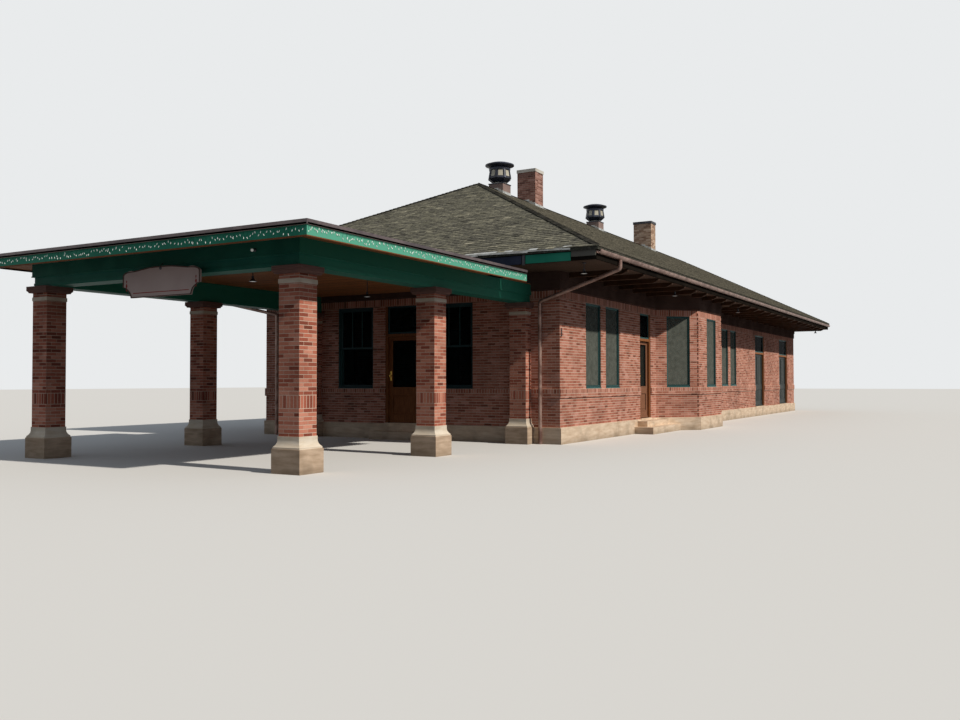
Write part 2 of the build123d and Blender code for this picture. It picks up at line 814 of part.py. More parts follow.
def moulded_blocks(profile):
    """A block with one section both ways on every pillar and pilaster, up to the wall."""
    near, far = origin_y - pillar_width, wall_front
    west, east = pillar_left - pillar_width, pillar_right + pillar_width
    with BuildSketch(Plane(origin=(0, far, 0), x_dir=(1, 0, 0), z_dir=(0, -1, 0))) as across:
        for x in pillar_xs:
            profile(x)
    extrude(across.sketch, amount=far - near)
    with BuildSketch(Plane(origin=(west, 0, 0), x_dir=(0, 1, 0), z_dir=(1, 0, 0))) as along:
        for row in (*pillar_rows, pilaster_face):
            profile(origin_y + row + pillar_width / 2)
    extrude(along.sketch, amount=east - west, mode=Mode.INTERSECT)


band_top = shaft_top + band_height
head_top = band_top + head_height
with BuildPart() as pillar_stones:
    moulded_blocks(base_profile)
    pillar_box(band_proud, shaft_top, shaft_top + band_height)
save(pillar_stones.part, "pillar_stones")

base_top = plinth_height + base_stone_height
with BuildPart() as pillar_shafts:
    pillar_box(0, base_top, shaft_top)
    pillar_box(0, band_top, head_top)
    prism(run_outline(FRONT, -wall_thick, sill_band_proud), sill_band_low, sill_band_high,
          mode=Mode.SUBTRACT)
save(pillar_shafts.part, "pillar_shafts")

with BuildPart() as pillar_caps:
    moulded_blocks(cap_profile)
save(pillar_caps.part, "pillar_caps")

# Box beams on the caps: one along the front, one back to the wall on each side
beam_inset = (pillar_width - beam_width) / 2
beam_left, beam_right = pillar_left + beam_inset, pillar_right - beam_inset
front_beam_back = origin_y + beam_inset + beam_width
with BuildPart() as shelter_beams:
    front_face = origin_y + beam_inset
    for proud, low in ((0, beam_low), (beam_board_proud, ceiling_low - beam_board_height)):
        prism([(beam_left - proud, front_face - proud), (beam_right + proud, front_face - proud),
               (beam_right + proud, front_beam_back), (beam_left - proud, front_beam_back)],
              low, ceiling_low)
        for near_x, far_x in ((beam_left - proud, beam_left + beam_width),
                              (beam_right - beam_width, beam_right + proud)):
            prism([(near_x, front_beam_back + board_joint), (far_x, front_beam_back + board_joint),
                   (far_x, wall_front), (near_x, wall_front)], low, ceiling_low)
    prism(run_outline(FRONT, 0, frieze_low_thick), frieze_low, ceiling_low, mode=Mode.SUBTRACT)
save(shelter_beams.part, "shelter_beams")

shelter_left = pillar_left - shelter_overhang
shelter_right = pillar_right + shelter_overhang
shelter_near = origin_y - shelter_overhang
shelter_eave_end = shelter_near + shelter_eave_run
shelter_wall_end = wall_front - frieze_low_thick


def shelter_outline(inset, wall_end):
    """Plan of the shelter's roof: wide out to its eaves, narrow under the main eave."""
    back = shelter_eave_end - inset
    neck_left = beam_left - beam_board_proud
    neck_right = beam_right + beam_board_proud
    return [
        (shelter_left + inset, shelter_near + inset), (shelter_right - inset, shelter_near + inset),
        (shelter_right - inset, back), (neck_right, back), (neck_right, wall_end),
        (neck_left, wall_end), (neck_left, back), (shelter_left + inset, back),
    ]


with BuildPart() as shelter_ceiling:
    prism(shelter_outline(0, shelter_wall_end), ceiling_low, ceiling_low + board_thick)
save(shelter_ceiling.part, "shelter_ceiling")

# The fascia hangs below the ceiling along the near and right eaves only
fascia_foot = ceiling_low - shelter_fascia_height
with BuildPart() as shelter_fascia:
    prism([(shelter_left, shelter_near), (shelter_right, shelter_near),
           (shelter_right, shelter_eave_end), (shelter_right - fascia_thick, shelter_eave_end),
           (shelter_right - fascia_thick, shelter_near + fascia_thick),
           (shelter_left, shelter_near + fascia_thick)], fascia_foot, ceiling_low)
save(shelter_fascia.part, "shelter_fascia")

roof_base = ceiling_low + board_thick
with BuildPart() as shelter_roof:
    edge_top = ceiling_low + drip_edge_height - drip_edge_drop
    prism(shelter_outline(0, shelter_wall_end), roof_base, edge_top + shelter_roof_rise)
    middle_x = (shelter_left + shelter_right) / 2
    half_span = (shelter_right - shelter_left) / 2
    for x, sign in ((shelter_left, 1), (shelter_right, -1)):
        normal = Vector(-sign * shelter_roof_rise, 0, half_span)
        split(bisect_by=Plane(origin=(x, 0, edge_top), z_dir=normal), keep=Keep.BOTTOM)
    normal = Vector(0, -shelter_roof_rise, half_span)
    split(bisect_by=Plane(origin=(middle_x, shelter_near, edge_top), z_dir=normal), keep=Keep.BOTTOM)
    prism(run_outline(FRONT, 0, frieze_high_thick), frieze_split, wall_top, mode=Mode.SUBTRACT)
save(shelter_roof.part, "shelter_roof")

with BuildPart() as shelter_drip_edge:
    with BuildSketch(Plane.XY.offset(ceiling_low - drip_edge_drop)):
        with BuildLine():
            outer = drip_edge_proud
            left, right, near = shelter_left - outer, shelter_right + outer, shelter_near - outer
            Polyline((left, shelter_eave_end), (left, near), (right, near), (right, shelter_eave_end),
                     (shelter_right, shelter_eave_end), (shelter_right, shelter_near),
                     (shelter_left, shelter_near), (shelter_left, shelter_eave_end), close=True)
        make_face()
    extrude(amount=drip_edge_height)
save(shelter_drip_edge.part, "shelter_drip_edge")

# Windows: a box frame in each hole, an upper and a lower sash in it, and their panes
def window_layout(edge, middle, width):
    """Depths and heights shared by one window's frame, sashes and panes."""
    low, high = sill_band_high, opening_head
    inner_low, inner_high = low + frame_face, high - frame_face
    inner_width = width - 2 * frame_face
    meeting = inner_low + (inner_high - inner_low) * meeting_share
    front = -window_reveal - frame_front_set
    return inner_low, inner_high, inner_width, meeting, front


transom_front = jamb_front - transom_set_in


def transom_clear(width):
    """Width of the light over a door, between the stops on its jambs."""
    return width - 2 * jamb_face - 2 * stop_proud


with BuildPart() as window_frames:
    for edge, middle, width in windows:
        face_ring(edge, middle, width, sill_band_high, opening_head,
                  -window_reveal - frame_depth, -window_reveal, frame_face)
save(window_frames.part, "window_frames")

with BuildPart() as window_sashes:
    for edge, middle, width in windows:
        inner_low, inner_high, inner_width, meeting, front = window_layout(edge, middle, width)
        face_ring(edge, middle, inner_width, meeting - sash_lap / 2, inner_high,
                  front - sash_thick, front, sash_face)
        face_ring(edge, middle, inner_width, inner_low, meeting + sash_lap / 2,
                  front - 2 * sash_thick - sash_gap, front - sash_thick - sash_gap, sash_face)
    for edge, middle, width in doorways.values():
        face_ring(edge, middle, transom_clear(width), transom_low + transom_height, opening_head,
                  transom_front - sash_thick, transom_front, sash_face)
save(window_sashes.part, "window_sashes")

with BuildPart() as window_panes:
    for edge, middle, width in windows:
        inner_low, inner_high, inner_width, meeting, front = window_layout(edge, middle, width)
        for low, high, plane in ((meeting - sash_lap / 2, inner_high, front - sash_thick / 2),
                                 (inner_low, meeting + sash_lap / 2, front - 1.5 * sash_thick - sash_gap)):
            face_box(edge, middle, inner_width - 2 * sash_face, low + sash_face, high - sash_face,
                     plane - glass_thick / 2, plane + glass_thick / 2)
    for edge, middle, width in doorways.values():
        plane = transom_front - sash_thick / 2
        face_box(edge, middle, transom_clear(width) - 2 * sash_face,
                 transom_low + transom_height + sash_face, opening_head - sash_face,
                 plane - glass_thick / 2, plane + glass_thick / 2)
save(window_panes.part, "window_panes")

# Doorways: jambs with stops, head and transom bar, a light over the bar, and a stone sill
stop_back = leaf_front + leaf_gap
with BuildPart() as door_frames:
    for edge, middle, width in doorways.values():
        for sign in (-1, 1):
            side = middle + sign * (width / 2 - jamb_face / 2)
            face_box(edge, side, jamb_face, foundation_height, opening_head, leaf_back, jamb_front)
            stop_side = middle + sign * (width / 2 - jamb_face - stop_proud / 2)
            face_box(edge, stop_side, stop_proud, foundation_height, opening_head, stop_back, jamb_front)
        clear = width - 2 * jamb_face - 2 * stop_proud - 2 * board_joint
        face_box(edge, middle, clear, transom_low, transom_low + transom_height, leaf_back, jamb_front)
save(door_frames.part, "door_frames")

with BuildPart() as door_sills:
    for edge, middle, width in doorways.values():
        face_box(edge, middle, width, foundation_height, foundation_height + sill_stone_height,
                 jamb_front, foundation_proud)
save(door_sills.part, "door_sills")


# Door leaves: stiles and rails with sunk panels, and glass over the lock rail where there is some
def leaf_span(name, hand):
    """Middle and width of one leaf: hand is 0 for a single leaf, or the side of a pair."""
    edge, middle, width = doorways[name]
    clear = width - 2 * jamb_face - 2 * leaf_gap
    if hand == 0:
        return middle, clear
    leaf_width = (clear - pair_gap) / 2
    return middle + hand * (leaf_width + pair_gap) / 2, leaf_width


leaf_low = foundation_height + leaf_floor_gap
leaf_high = transom_low - leaf_gap


def hinge_halves(name, hand, on_leaf):
    """Plates and knuckles of one leaf's three hinges: the leaf's own, or those on its jamb."""
    edge = doorways[name][0]
    middle, width = leaf_span(name, hand)
    side = hand if hand else 1
    axis_along = middle + side * (width + leaf_gap) / 2
    way = -side if on_leaf else side
    third = hinge_length / 3
    tab = hinge_radius + hinge_clearance
    thirds = [(1, 2)] if on_leaf else [(0, 1), (2, 3)]
    for low in (leaf_low + hinge_end_distance, (leaf_low + leaf_high - hinge_length) / 2,
                leaf_high - hinge_end_distance - hinge_length):
        face_box(edge, axis_along + way * (tab + hinge_plate_width / 2), hinge_plate_width,
                 low, low + hinge_length, leaf_back - hinge_plate_thick, leaf_back)
        for first, last in thirds:
            bottom = low + first * third + hinge_clearance / 2
            top = low + last * third - hinge_clearance / 2
            face_box(edge, axis_along + way * tab / 2, tab, bottom, top,
                     leaf_back - hinge_plate_thick, leaf_back)
            with BuildSketch(Plane.XY.offset(bottom)) as knuckle:
                with Locations(offset_along(edge, axis_along, leaf_back - hinge_stand_off)):
                    Circle(hinge_radius)
            extrude(knuckle.sketch, amount=top - bottom)


def door_leaf(name, hand, glazed):
    """One leaf of a doorway."""
    edge = doorways[name][0]
    middle, width = leaf_span(name, hand)
    lock_low = foundation_height + lock_rail_height - rail_height / 2
    lock_high = lock_low + rail_height
    panel_width = width - 2 * stile_width
    with BuildPart() as leaf:
        face_box(edge, middle, width, leaf_low, leaf_high, leaf_back, leaf_front)
        panels = [(leaf_low + bottom_rail_height, lock_low)]
        if glazed:
            face_box(edge, middle, panel_width, lock_high, leaf_high - top_rail_height,
                     leaf_back, leaf_front, mode=Mode.SUBTRACT)
        else:
            panels.append((lock_high, leaf_high - top_rail_height))
        for low, high in panels:
            for back in (leaf_front - panel_sink, leaf_back):
                face_box(edge, middle, panel_width, low, high, back, back + panel_sink, mode=Mode.SUBTRACT)
        hinge_halves(name, hand, True)
    return leaf.part


def door_glass(name):
    """Pane of a half-glazed leaf."""
    edge = doorways[name][0]
    middle, width = leaf_span(name, 0)
    lock_high = foundation_height + lock_rail_height + rail_height / 2
    plane = (leaf_front + leaf_back) / 2
    with BuildPart() as pane:
        face_box(edge, middle, width - 2 * stile_width, lock_high, leaf_high - top_rail_height,
                 plane - glass_thick / 2, plane + glass_thick / 2)
    return pane.part


def door_knobs(name, hand, latch_side):
    """Knobs on both faces of a leaf, each turned with its rose and neck."""
    edge = doorways[name][0]
    middle, width = leaf_span(name, hand)
    along = middle + latch_side * (width / 2 - knob_inset)
    ux, uy = edge_direction(edge)
    neck = knob_radius * 0.4
    with BuildPart() as knobs:
        for depth, way in ((leaf_front, 1), (leaf_back, -1)):
            x, y = offset_along(edge, along, depth)
            place = (x, y, foundation_height + knob_height)
            outward = (uy * way, -ux * way, 0)
            with BuildSketch(Plane(origin=place, x_dir=outward, z_dir=(ux, uy, 0))) as half:
                with BuildLine():
                    Polyline((knob_reach, neck), (knob_reach, 0), (0, 0), (0, knob_radius),
                             (5, knob_radius), (8, neck), (knob_reach * 0.45, neck))
                    ThreePointArc((knob_reach * 0.45, neck), (knob_reach * 0.78, knob_radius),
                                  (knob_reach, neck))
                make_face()
            revolve(half.sketch, axis=Axis(place, outward), revolution_arc=360)
    return knobs.part


save(door_leaf("front", 0, True), "front_door")
save(door_glass("front"), "front_door_pane")
save(door_knobs("front", 0, -1), "front_door_knobs")
save(door_leaf("side", 0, True), "side_door")
save(door_glass("side"), "side_door_pane")
save(door_knobs("side", 0, -1), "side_door_knobs")
save(door_leaf("baggage", -1, False), "baggage_door_near")
save(door_leaf("baggage", 1, False), "baggage_door_far")
save(door_leaf("freight", -1, False), "freight_door_near")
save(door_leaf("freight", 1, False), "freight_door_far")

with BuildPart() as door_hinges:
    for name, hand in (("front", 0), ("side", 0), ("baggage", -1), ("baggage", 1),
                       ("freight", -1), ("freight", 1)):
        hinge_halves(name, hand, False)
save(door_hinges.part, "door_hinges")

# Stone steps at the front and side doors
with BuildPart() as front_step:
    face_box(FRONT, doorways["front"][1], front_step_width, 0, front_step_height,
             foundation_proud, foundation_proud + front_step_depth)
save(front_step.part, "front_step")

# The side steps begin short of the door and die into the bay's near wall
with BuildPart() as side_steps:
    door_near = door_sides("side")[0]
    steps = ((0, side_step_low, 2), (side_step_low, side_step_high, 1))
    for low, high, treads in steps:
        out = step_reach + (treads - 1) * step_tread
        near_end = door_near - step_near_end - (treads - 1) * step_tread
        start = offset_along(RIGHT_NEAR, near_end, foundation_proud)
        bay_reach = offset_corner(BAY_NEAR, foundation_proud)
        prism([start, offset_along(RIGHT_NEAR, near_end, out),
               (wall_right + out, bay_reach[1] + out - foundation_proud), bay_reach], low, high)
save(side_steps.part, "side_steps")

# Caps along the ridge and the hips
cap_strips = []
for slope, side_x in (("right", 1), ("left", -1)):
    edge_x = side_x * cap_width
    strip_plan = [near_peak, far_peak, (edge_x, far_peak[1]), (edge_x, near_peak[1])]
    cap_strips.append(slope_slab(slope, strip_plan, 0, cap_thick))
for corner, peak, side_slope, end_slope, along, across in (
        (near_right, near_peak, "right", "near", far_right, near_left),
        (near_left, near_peak, "left", "near", far_left, near_right),
        (far_right, far_peak, "right", "far", near_right, far_left),
        (far_left, far_peak, "left", "far", near_left, far_right)):
    cap_strips += cap_pieces(corner, peak, (along, across), side_slope, end_slope)
with BuildPart() as roof_caps:
    for strip in cap_strips:
        add(strip)
    with BuildSketch(Plane.XY.offset(ridge_height - 2 * roof_thick)):
        for distance, (width, depth) in chimneys:
            with Locations((0, wall_front + distance)):
                Rectangle(width, depth)
        for distance in ventilator_places:
            with Locations((0, wall_front + distance)):
                Rectangle(ventilator_base_width, ventilator_base_width)
    extrude(amount=4 * roof_thick, mode=Mode.SUBTRACT)
save(roof_caps.part, "roof_caps")

# Sign board hung from the front beam, with a scalloped top edge
with BuildPart() as sign_board:
    with BuildSketch(Plane(origin=(sign_middle, origin_y - sign_stand_off, sign_low),
                           x_dir=(1, 0, 0), z_dir=(0, -1, 0))):
        half = sign_width / 2
        ear, shoulder = (half, sign_height * 0.78), (half * 0.7, sign_height * 0.9)
        crest, crown = (half * 0.45, sign_height * 0.955), (0, sign_height)
        with BuildLine():
            Line((-half * 0.78, 0), (half * 0.78, 0))
            for side in (1, -1):
                ThreePointArc((side * half * 0.78, 0), (side * half * 0.84, sign_height * 0.26),
                              (side * half, sign_height * 0.38))
                Line((side * half, sign_height * 0.38), (side * ear[0], ear[1]))
                ThreePointArc((side * ear[0], ear[1]), (side * half * 0.9, sign_height * 0.88),
                              (side * shoulder[0], shoulder[1]))
                Line((side * shoulder[0], shoulder[1]), (side * crest[0], crest[1]))
                ThreePointArc((side * crest[0], crest[1]), (side * half * 0.3, sign_height * 0.985),
                              crown)
        make_face()
    extrude(amount=sign_thick)
save(sign_board.part, "sign_board")

with BuildPart() as sign_hangers:
    for sign in (-1, 1):
        x = sign_middle + sign * sign_width * hanger_share
        back = origin_y + beam_inset
        with BuildSketch(Plane.XY.offset(beam_low + hanger_lift)):
            with Locations((x, (back + origin_y - sign_stand_off) / 2)):
                Rectangle(hanger_width, back - origin_y + sign_stand_off)
        extrude(amount=hanger_width)
save(sign_hangers.part, "sign_hangers")


def lamp(x, y, top, shade_radius, stem):
    """Barn lamp: ceiling rose, stem and a spun shade open below."""
    shade_height = shade_radius * lamp_shade_share
    wall = lamp_metal
    neck_foot = -stem - 8
    bell = neck_foot - shade_height * 0.4
    rim = neck_foot - shade_height
    with BuildSketch(Plane(origin=(x, y, top), x_dir=(1, 0, 0), z_dir=(0, -1, 0))) as half:
        with BuildLine():
            Polyline((0, 0), (lamp_rose_radius, 0), (lamp_rose_radius, -lamp_rose_height),
                     (lamp_stem_radius, -lamp_rose_height - 6), (lamp_stem_radius, -stem),
                     (lamp_neck_radius, neck_foot), (lamp_neck_radius, bell))
            ThreePointArc((lamp_neck_radius, bell), (shade_radius * 0.6, bell - shade_height * 0.3),
                          (shade_radius, rim))
            Line((shade_radius, rim), (shade_radius - wall, rim))
            ThreePointArc((shade_radius - wall, rim),
                          (shade_radius * 0.6 - wall, bell - shade_height * 0.33),
                          (lamp_neck_radius - wall, bell - wall))
            Polyline((lamp_neck_radius - wall, bell - wall), (0, bell - wall), (0, 0))
        make_face()
    revolve(half.sketch, axis=Axis((x, y, top), (0, 0, 1)), revolution_arc=360)


with BuildPart() as shelter_lamps:
    for row in shelter_lamp_rows:
        lamp(front_middle + lamp_offset, origin_y + row, ceiling_low, lamp_shade_radius, shelter_lamp_stem)
save(shelter_lamps.part, "shelter_lamps")

with BuildPart() as eave_lamps:
    for distance, out in eave_lamp_places:
        lamp(wall_right + out, wall_front + distance, wall_top, lamp_shade_radius, eave_lamp_stem)
save(eave_lamps.part, "eave_lamps")
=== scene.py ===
"""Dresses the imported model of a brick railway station: bricks, shingles, paint, glass and fittings.

Lengths are in metres in the part's own frame: +X is the side with the bay, +Y runs away along the
building and +Z is up. The origin is on the ground in the middle of the plan.
"""

import logging
import math
from dataclasses import dataclass, field
from enum import Enum
from functools import partial
from random import Random
from typing import Optional, Sequence

import bmesh
import bpy
import numpy as np
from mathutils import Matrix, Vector


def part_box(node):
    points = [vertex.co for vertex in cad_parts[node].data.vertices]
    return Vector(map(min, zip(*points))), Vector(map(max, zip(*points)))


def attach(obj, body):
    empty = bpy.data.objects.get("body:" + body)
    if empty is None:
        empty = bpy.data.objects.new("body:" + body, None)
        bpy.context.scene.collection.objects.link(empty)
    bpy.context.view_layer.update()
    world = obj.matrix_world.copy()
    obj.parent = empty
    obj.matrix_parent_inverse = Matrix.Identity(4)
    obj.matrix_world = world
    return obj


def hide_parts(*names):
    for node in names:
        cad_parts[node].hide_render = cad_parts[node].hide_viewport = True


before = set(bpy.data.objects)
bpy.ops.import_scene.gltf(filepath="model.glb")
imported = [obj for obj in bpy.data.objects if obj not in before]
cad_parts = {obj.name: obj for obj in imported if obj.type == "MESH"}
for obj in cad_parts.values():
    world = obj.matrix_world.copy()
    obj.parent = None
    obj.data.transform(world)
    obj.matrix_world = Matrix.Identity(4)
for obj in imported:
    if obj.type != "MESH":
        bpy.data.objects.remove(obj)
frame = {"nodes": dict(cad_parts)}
log = logging.getLogger("station")
UP = Vector((0, 0, 1))
Point = Sequence[float]
Pair = tuple[float, float]
Profile = tuple[Pair, ...]


def linear(colour: str) -> tuple[float, float, float, float]:
    """Turns an sRGB hex colour into the linear values that a shader takes.

    Args:
        colour: Six hex digits after a hash.

    Returns:
        Linear red, green and blue, and full opacity.
    """
    parts = [int(colour[place:place + 2], 16) / 255 for place in (1, 3, 5)]
    red, green, blue = (p / 12.92 if p <= 0.04045 else ((p + 0.055) / 1.055) ** 2.4 for p in parts)
    return red, green, blue, 1.0


def add_node(tree: bpy.types.NodeTree, kind: str, inputs: Optional[dict] = None, output: object = 0,
             stops: Sequence[tuple[float, str]] = (), **settings: object) -> Optional[bpy.types.NodeSocket]:
    """Adds one node with its settings and links.

    Args:
        tree: Node tree that it goes into.
        kind: The node's type name, after ShaderNode.
        inputs: Values or sockets, by input name or place.
        output: Name or place of the output to return.
        stops: Places and colours of a colour ramp, the two at its ends first.
        settings: Other attributes of the node.

    Returns:
        The chosen output socket, or nothing from a node that has none.
    """
    node = tree.nodes.new("ShaderNode" + kind)
    for name, value in settings.items():
        setattr(node, name, value)
    for key, value in (inputs or {}).items():
        if isinstance(value, bpy.types.NodeSocket):
            tree.links.new(value, node.inputs[key])
        else:
            node.inputs[key].default_value = value
    for index, (place, colour) in enumerate(stops):
        elements = node.color_ramp.elements
        element = elements[index] if index < 2 else elements.new(place)
        element.position, element.color = place, linear(colour)
    return node.outputs[output] if node.outputs else None


class Slot(Enum):
    """Material slots of the record. Each piece is called with one, which nothing reads."""

    FRIEZE = "frieze_paint"
    SHINGLES = "shingles"
    GUTTER = "copper_brown_metal"
    ZINC = "zinc"
    TIMBER = "brown_timber"
    GREEN = "green_paint"
    ROOFING = "roll_roofing"
    DARK = "dark_metal"
    TEAL = "teal_paint"
    BRASS = "brass"
    CREAM = "cream_paint"


@dataclass(frozen=True)
class Finish:
    """What every finish shares: a name, its gloss, and how deep its relief is."""

    name: str
    roughness: float = 0.6
    shine: float = 0.2
    relief: float = 0.002

    def surface(self, tree: bpy.types.NodeTree) -> dict:
        """Inputs of the shader that vary over the surface."""
        return {}

    def constants(self) -> dict:
        """Inputs of the shader that are the same all over."""
        return {"Roughness": self.roughness, "Specular IOR Level": self.shine}

    def material(self) -> bpy.types.Material:
        """Makes the material when it is first asked for.

        Returns:
            The material, the same one each time.
        """
        made = bpy.data.materials.get(self.name)
        if made:
            return made
        made = bpy.data.materials.new(self.name)
        made.use_nodes = True
        tree = made.node_tree
        tree.nodes.clear()
        shader = add_node(tree, "BsdfPrincipled", {**self.constants(), **self.surface(tree)})
        add_node(tree, "OutputMaterial", {"Surface": shader})
        return made


# Fired clay, struck from sanded moulds: matt, gritty faces, each brick its own red after the kiln,
# with soft arrises and paler lime mortar set a little back. The 1 mm grit is drawn at 18 mm so that it
# shows.
@dataclass(frozen=True)
class SandStruckBrick(Finish):
    """Coursed brickwork in running bond, with bands of bricks set on end.

    Attributes:
        start: Corner, in plan, that the bond is set out from.
        pitch: Distance between things that have a bond of their own, such as pillars.
        far_from: Distance along the building from which the yellow bricks are used.
        course_line: Height of a bed joint, which has the first band over it.
        band_rise: What the band over that line is taller than whole courses.
        bands: Foot and top of each band of bricks on end, which are on_edge wide.
    """

    name: str = "sand_struck_brick"
    roughness: float = 0.9
    shine: float = 0.0
    reds: tuple[tuple[float, str], ...] = (
        (0.0, "#84503F"), (1.0, "#CE9482"), (0.08, "#9E5F4C"), (0.32, "#B2705B"), (0.6, "#BA7B66"),
        (0.84, "#C38672"))
    far_reds: tuple[tuple[float, str], ...] = ((0.0, "#8E6F5A"), (1.0, "#E0C6AC"), (0.4, "#B4957C"),
                                               (0.7, "#CBAF95"))
    far_from: float = 100.0
    mortar: str = "#DEC5B0"
    thin_and_shaded_head_joint: str = "#C39A86"
    soot: str = "#4A322B"
    start: tuple[float, float] = (4.915, -9.7315)
    pitch: tuple[float, float] = (1000.0, 1000.0)
    brick_length: float = 0.211
    course: float = 0.065
    joint: float = 0.012
    course_line: float = 1.165
    band_rise: float = 0.045
    bands: tuple[tuple[float, float], ...] = ((1.165, 1.275), (3.385, 3.6))
    on_edge: float = 0.0735
    relief: float = 0.004
    grit: float = 0.018
    grime: float = 0.9
    gritty: float = 0.35
    sooty: float = 0.55

    def surface(self, tree: bpy.types.NodeTree) -> dict:
        """Colour and relief of bricks and joints, laid out along each face from its true normal.

        Args:
            tree: Node tree of the material.

        Returns:
            Base colour and normal, by the names of the shader's inputs.
        """
        node = partial(add_node, tree)
        place = node("TexCoord", output="Object")
        normal = node("NewGeometry", output="True Normal")
        pitch = (*self.pitch, 1000.0)
        half = tuple(value / 2 for value in pitch)
        local = node("VectorMath", {0: place, 1: (*self.start, 0)}, operation="SUBTRACT")
        shifted = node("VectorMath", {0: local, 1: half}, operation="ADD")
        cell = node("VectorMath", {0: shifted, 1: pitch}, operation="SNAP")
        near = node("VectorMath", {0: local, 1: cell}, operation="SUBTRACT")
        reseed = tuple(self.brick_length * 2 * step / value for step, value in zip((9, 17), pitch))
        varied = node("VectorMath", {0: cell, 1: (*reseed, 0), 2: near}, operation="MULTIPLY_ADD")
        tangent = node("VectorMath", {0: (0, 0, 1), 1: normal}, operation="CROSS_PRODUCT")
        along = node("VectorMath", {0: varied, 1: tangent}, 1, operation="DOT_PRODUCT")
        facing = node("SeparateXYZ", {0: normal})
        side = node("Math", {0: facing}, operation="ABSOLUTE")
        along = node("Math", {0: side, 1: self.brick_length / 2, 2: along}, operation="MULTIPLY_ADD")
        height = node("SeparateXYZ", {0: place}, "Z")
        above = node("Math", {0: height, 1: self.course_line + 0.02}, operation="GREATER_THAN")
        lift = node("Math", {0: above, 1: -self.band_rise, 2: height}, operation="MULTIPLY_ADD")
        lift = node("Math", {0: lift, 1: self.course_line}, operation="SUBTRACT")
        laid = node("CombineXYZ", {0: along, 1: lift})
        sizes = {"Color1": linear("#000000"), "Color2": linear("#FFFFFF"), "Mortar": linear("#000000"),
                 "Scale": 1.0, "Mortar Size": self.joint / 2, "Mortar Smooth": 0.25}
        tint = node("TexBrick", {**sizes, "Vector": laid, "Brick Width": self.brick_length,
                                 "Row Height": self.course}, offset=0.5, offset_frequency=2)
        joints = tint.node.outputs["Fac"]
        from_bed = node("Math", {0: lift, 1: self.course / 2}, operation="PINGPONG")
        pale = node("Math", {0: from_bed, 1: self.joint * 0.6}, operation="LESS_THAN")
        for low, high in self.bands:
            over = node("Math", {0: height, 1: low}, operation="GREATER_THAN")
            under = node("Math", {0: height, 1: high}, operation="LESS_THAN")
            inside = node("Math", {0: over, 1: under}, operation="MULTIPLY")
            from_low = node("Math", {0: height, 1: low}, operation="SUBTRACT")
            stood = node("CombineXYZ", {0: along, 1: from_low})
            band = node("TexBrick", {**sizes, "Vector": stood, "Brick Width": self.on_edge,
                                     "Row Height": high - low}, offset=0.0)
            tint = node("Mix", {0: inside, 6: tint, 7: band}, 2, data_type="RGBA")
            joints = node("Mix", {0: inside, 2: joints, 3: band.node.outputs["Fac"]})
            pale = node("Math", {0: pale, 1: inside}, operation="MAXIMUM")
        fired = node("ValToRGB", {0: tint}, stops=self.reds)
        yellow = node("ValToRGB", {0: tint}, stops=self.far_reds)
        distance = node("SeparateXYZ", {0: place}, "Y")
        beyond = node("Math", {0: distance, 1: self.far_from}, operation="GREATER_THAN")
        fired = node("Mix", {0: beyond, 6: fired, 7: yellow}, 2, data_type="RGBA")
        grit = node("TexNoise", {"Vector": place, "Scale": 1 / self.grit, "Detail": 4.0})
        grime = node("TexNoise", {"Vector": place, "Scale": 1 / self.grime, "Detail": 5.0, "Roughness": 0.6})
        dusted = node("Mix", {0: self.gritty, 6: fired, 7: grit}, 2, data_type="RGBA",
                      blend_type="SOFT_LIGHT")
        # Head joints take a brick-toned mortar, and bed joints and the bands' joints the pale one: partly
        # thin head joints, partly a painted highlight where the bed joints catch the light.
        mortar = node("Mix", {0: pale, 6: linear(self.thin_and_shaded_head_joint), 7: linear(self.mortar)},
                      2, data_type="RGBA")
        laid_up = node("Mix", {0: joints, 6: dusted, 7: mortar}, 2, data_type="RGBA")
        dirt = node("MapRange", {"Value": grime, "From Min": 0.45, "From Max": 0.85,
                                 "To Min": 0.0, "To Max": self.sooty})
        colour = node("Mix", {0: dirt, 6: laid_up, 7: linear(self.soot)}, 2, data_type="RGBA")
        relief = node("Math", {0: joints, 1: -1.0, 2: grit}, operation="MULTIPLY_ADD")
        bump = node("Bump", {"Height": relief, "Distance": self.relief, "Strength": 0.7})
        return {"Base Color": colour, "Normal": bump}


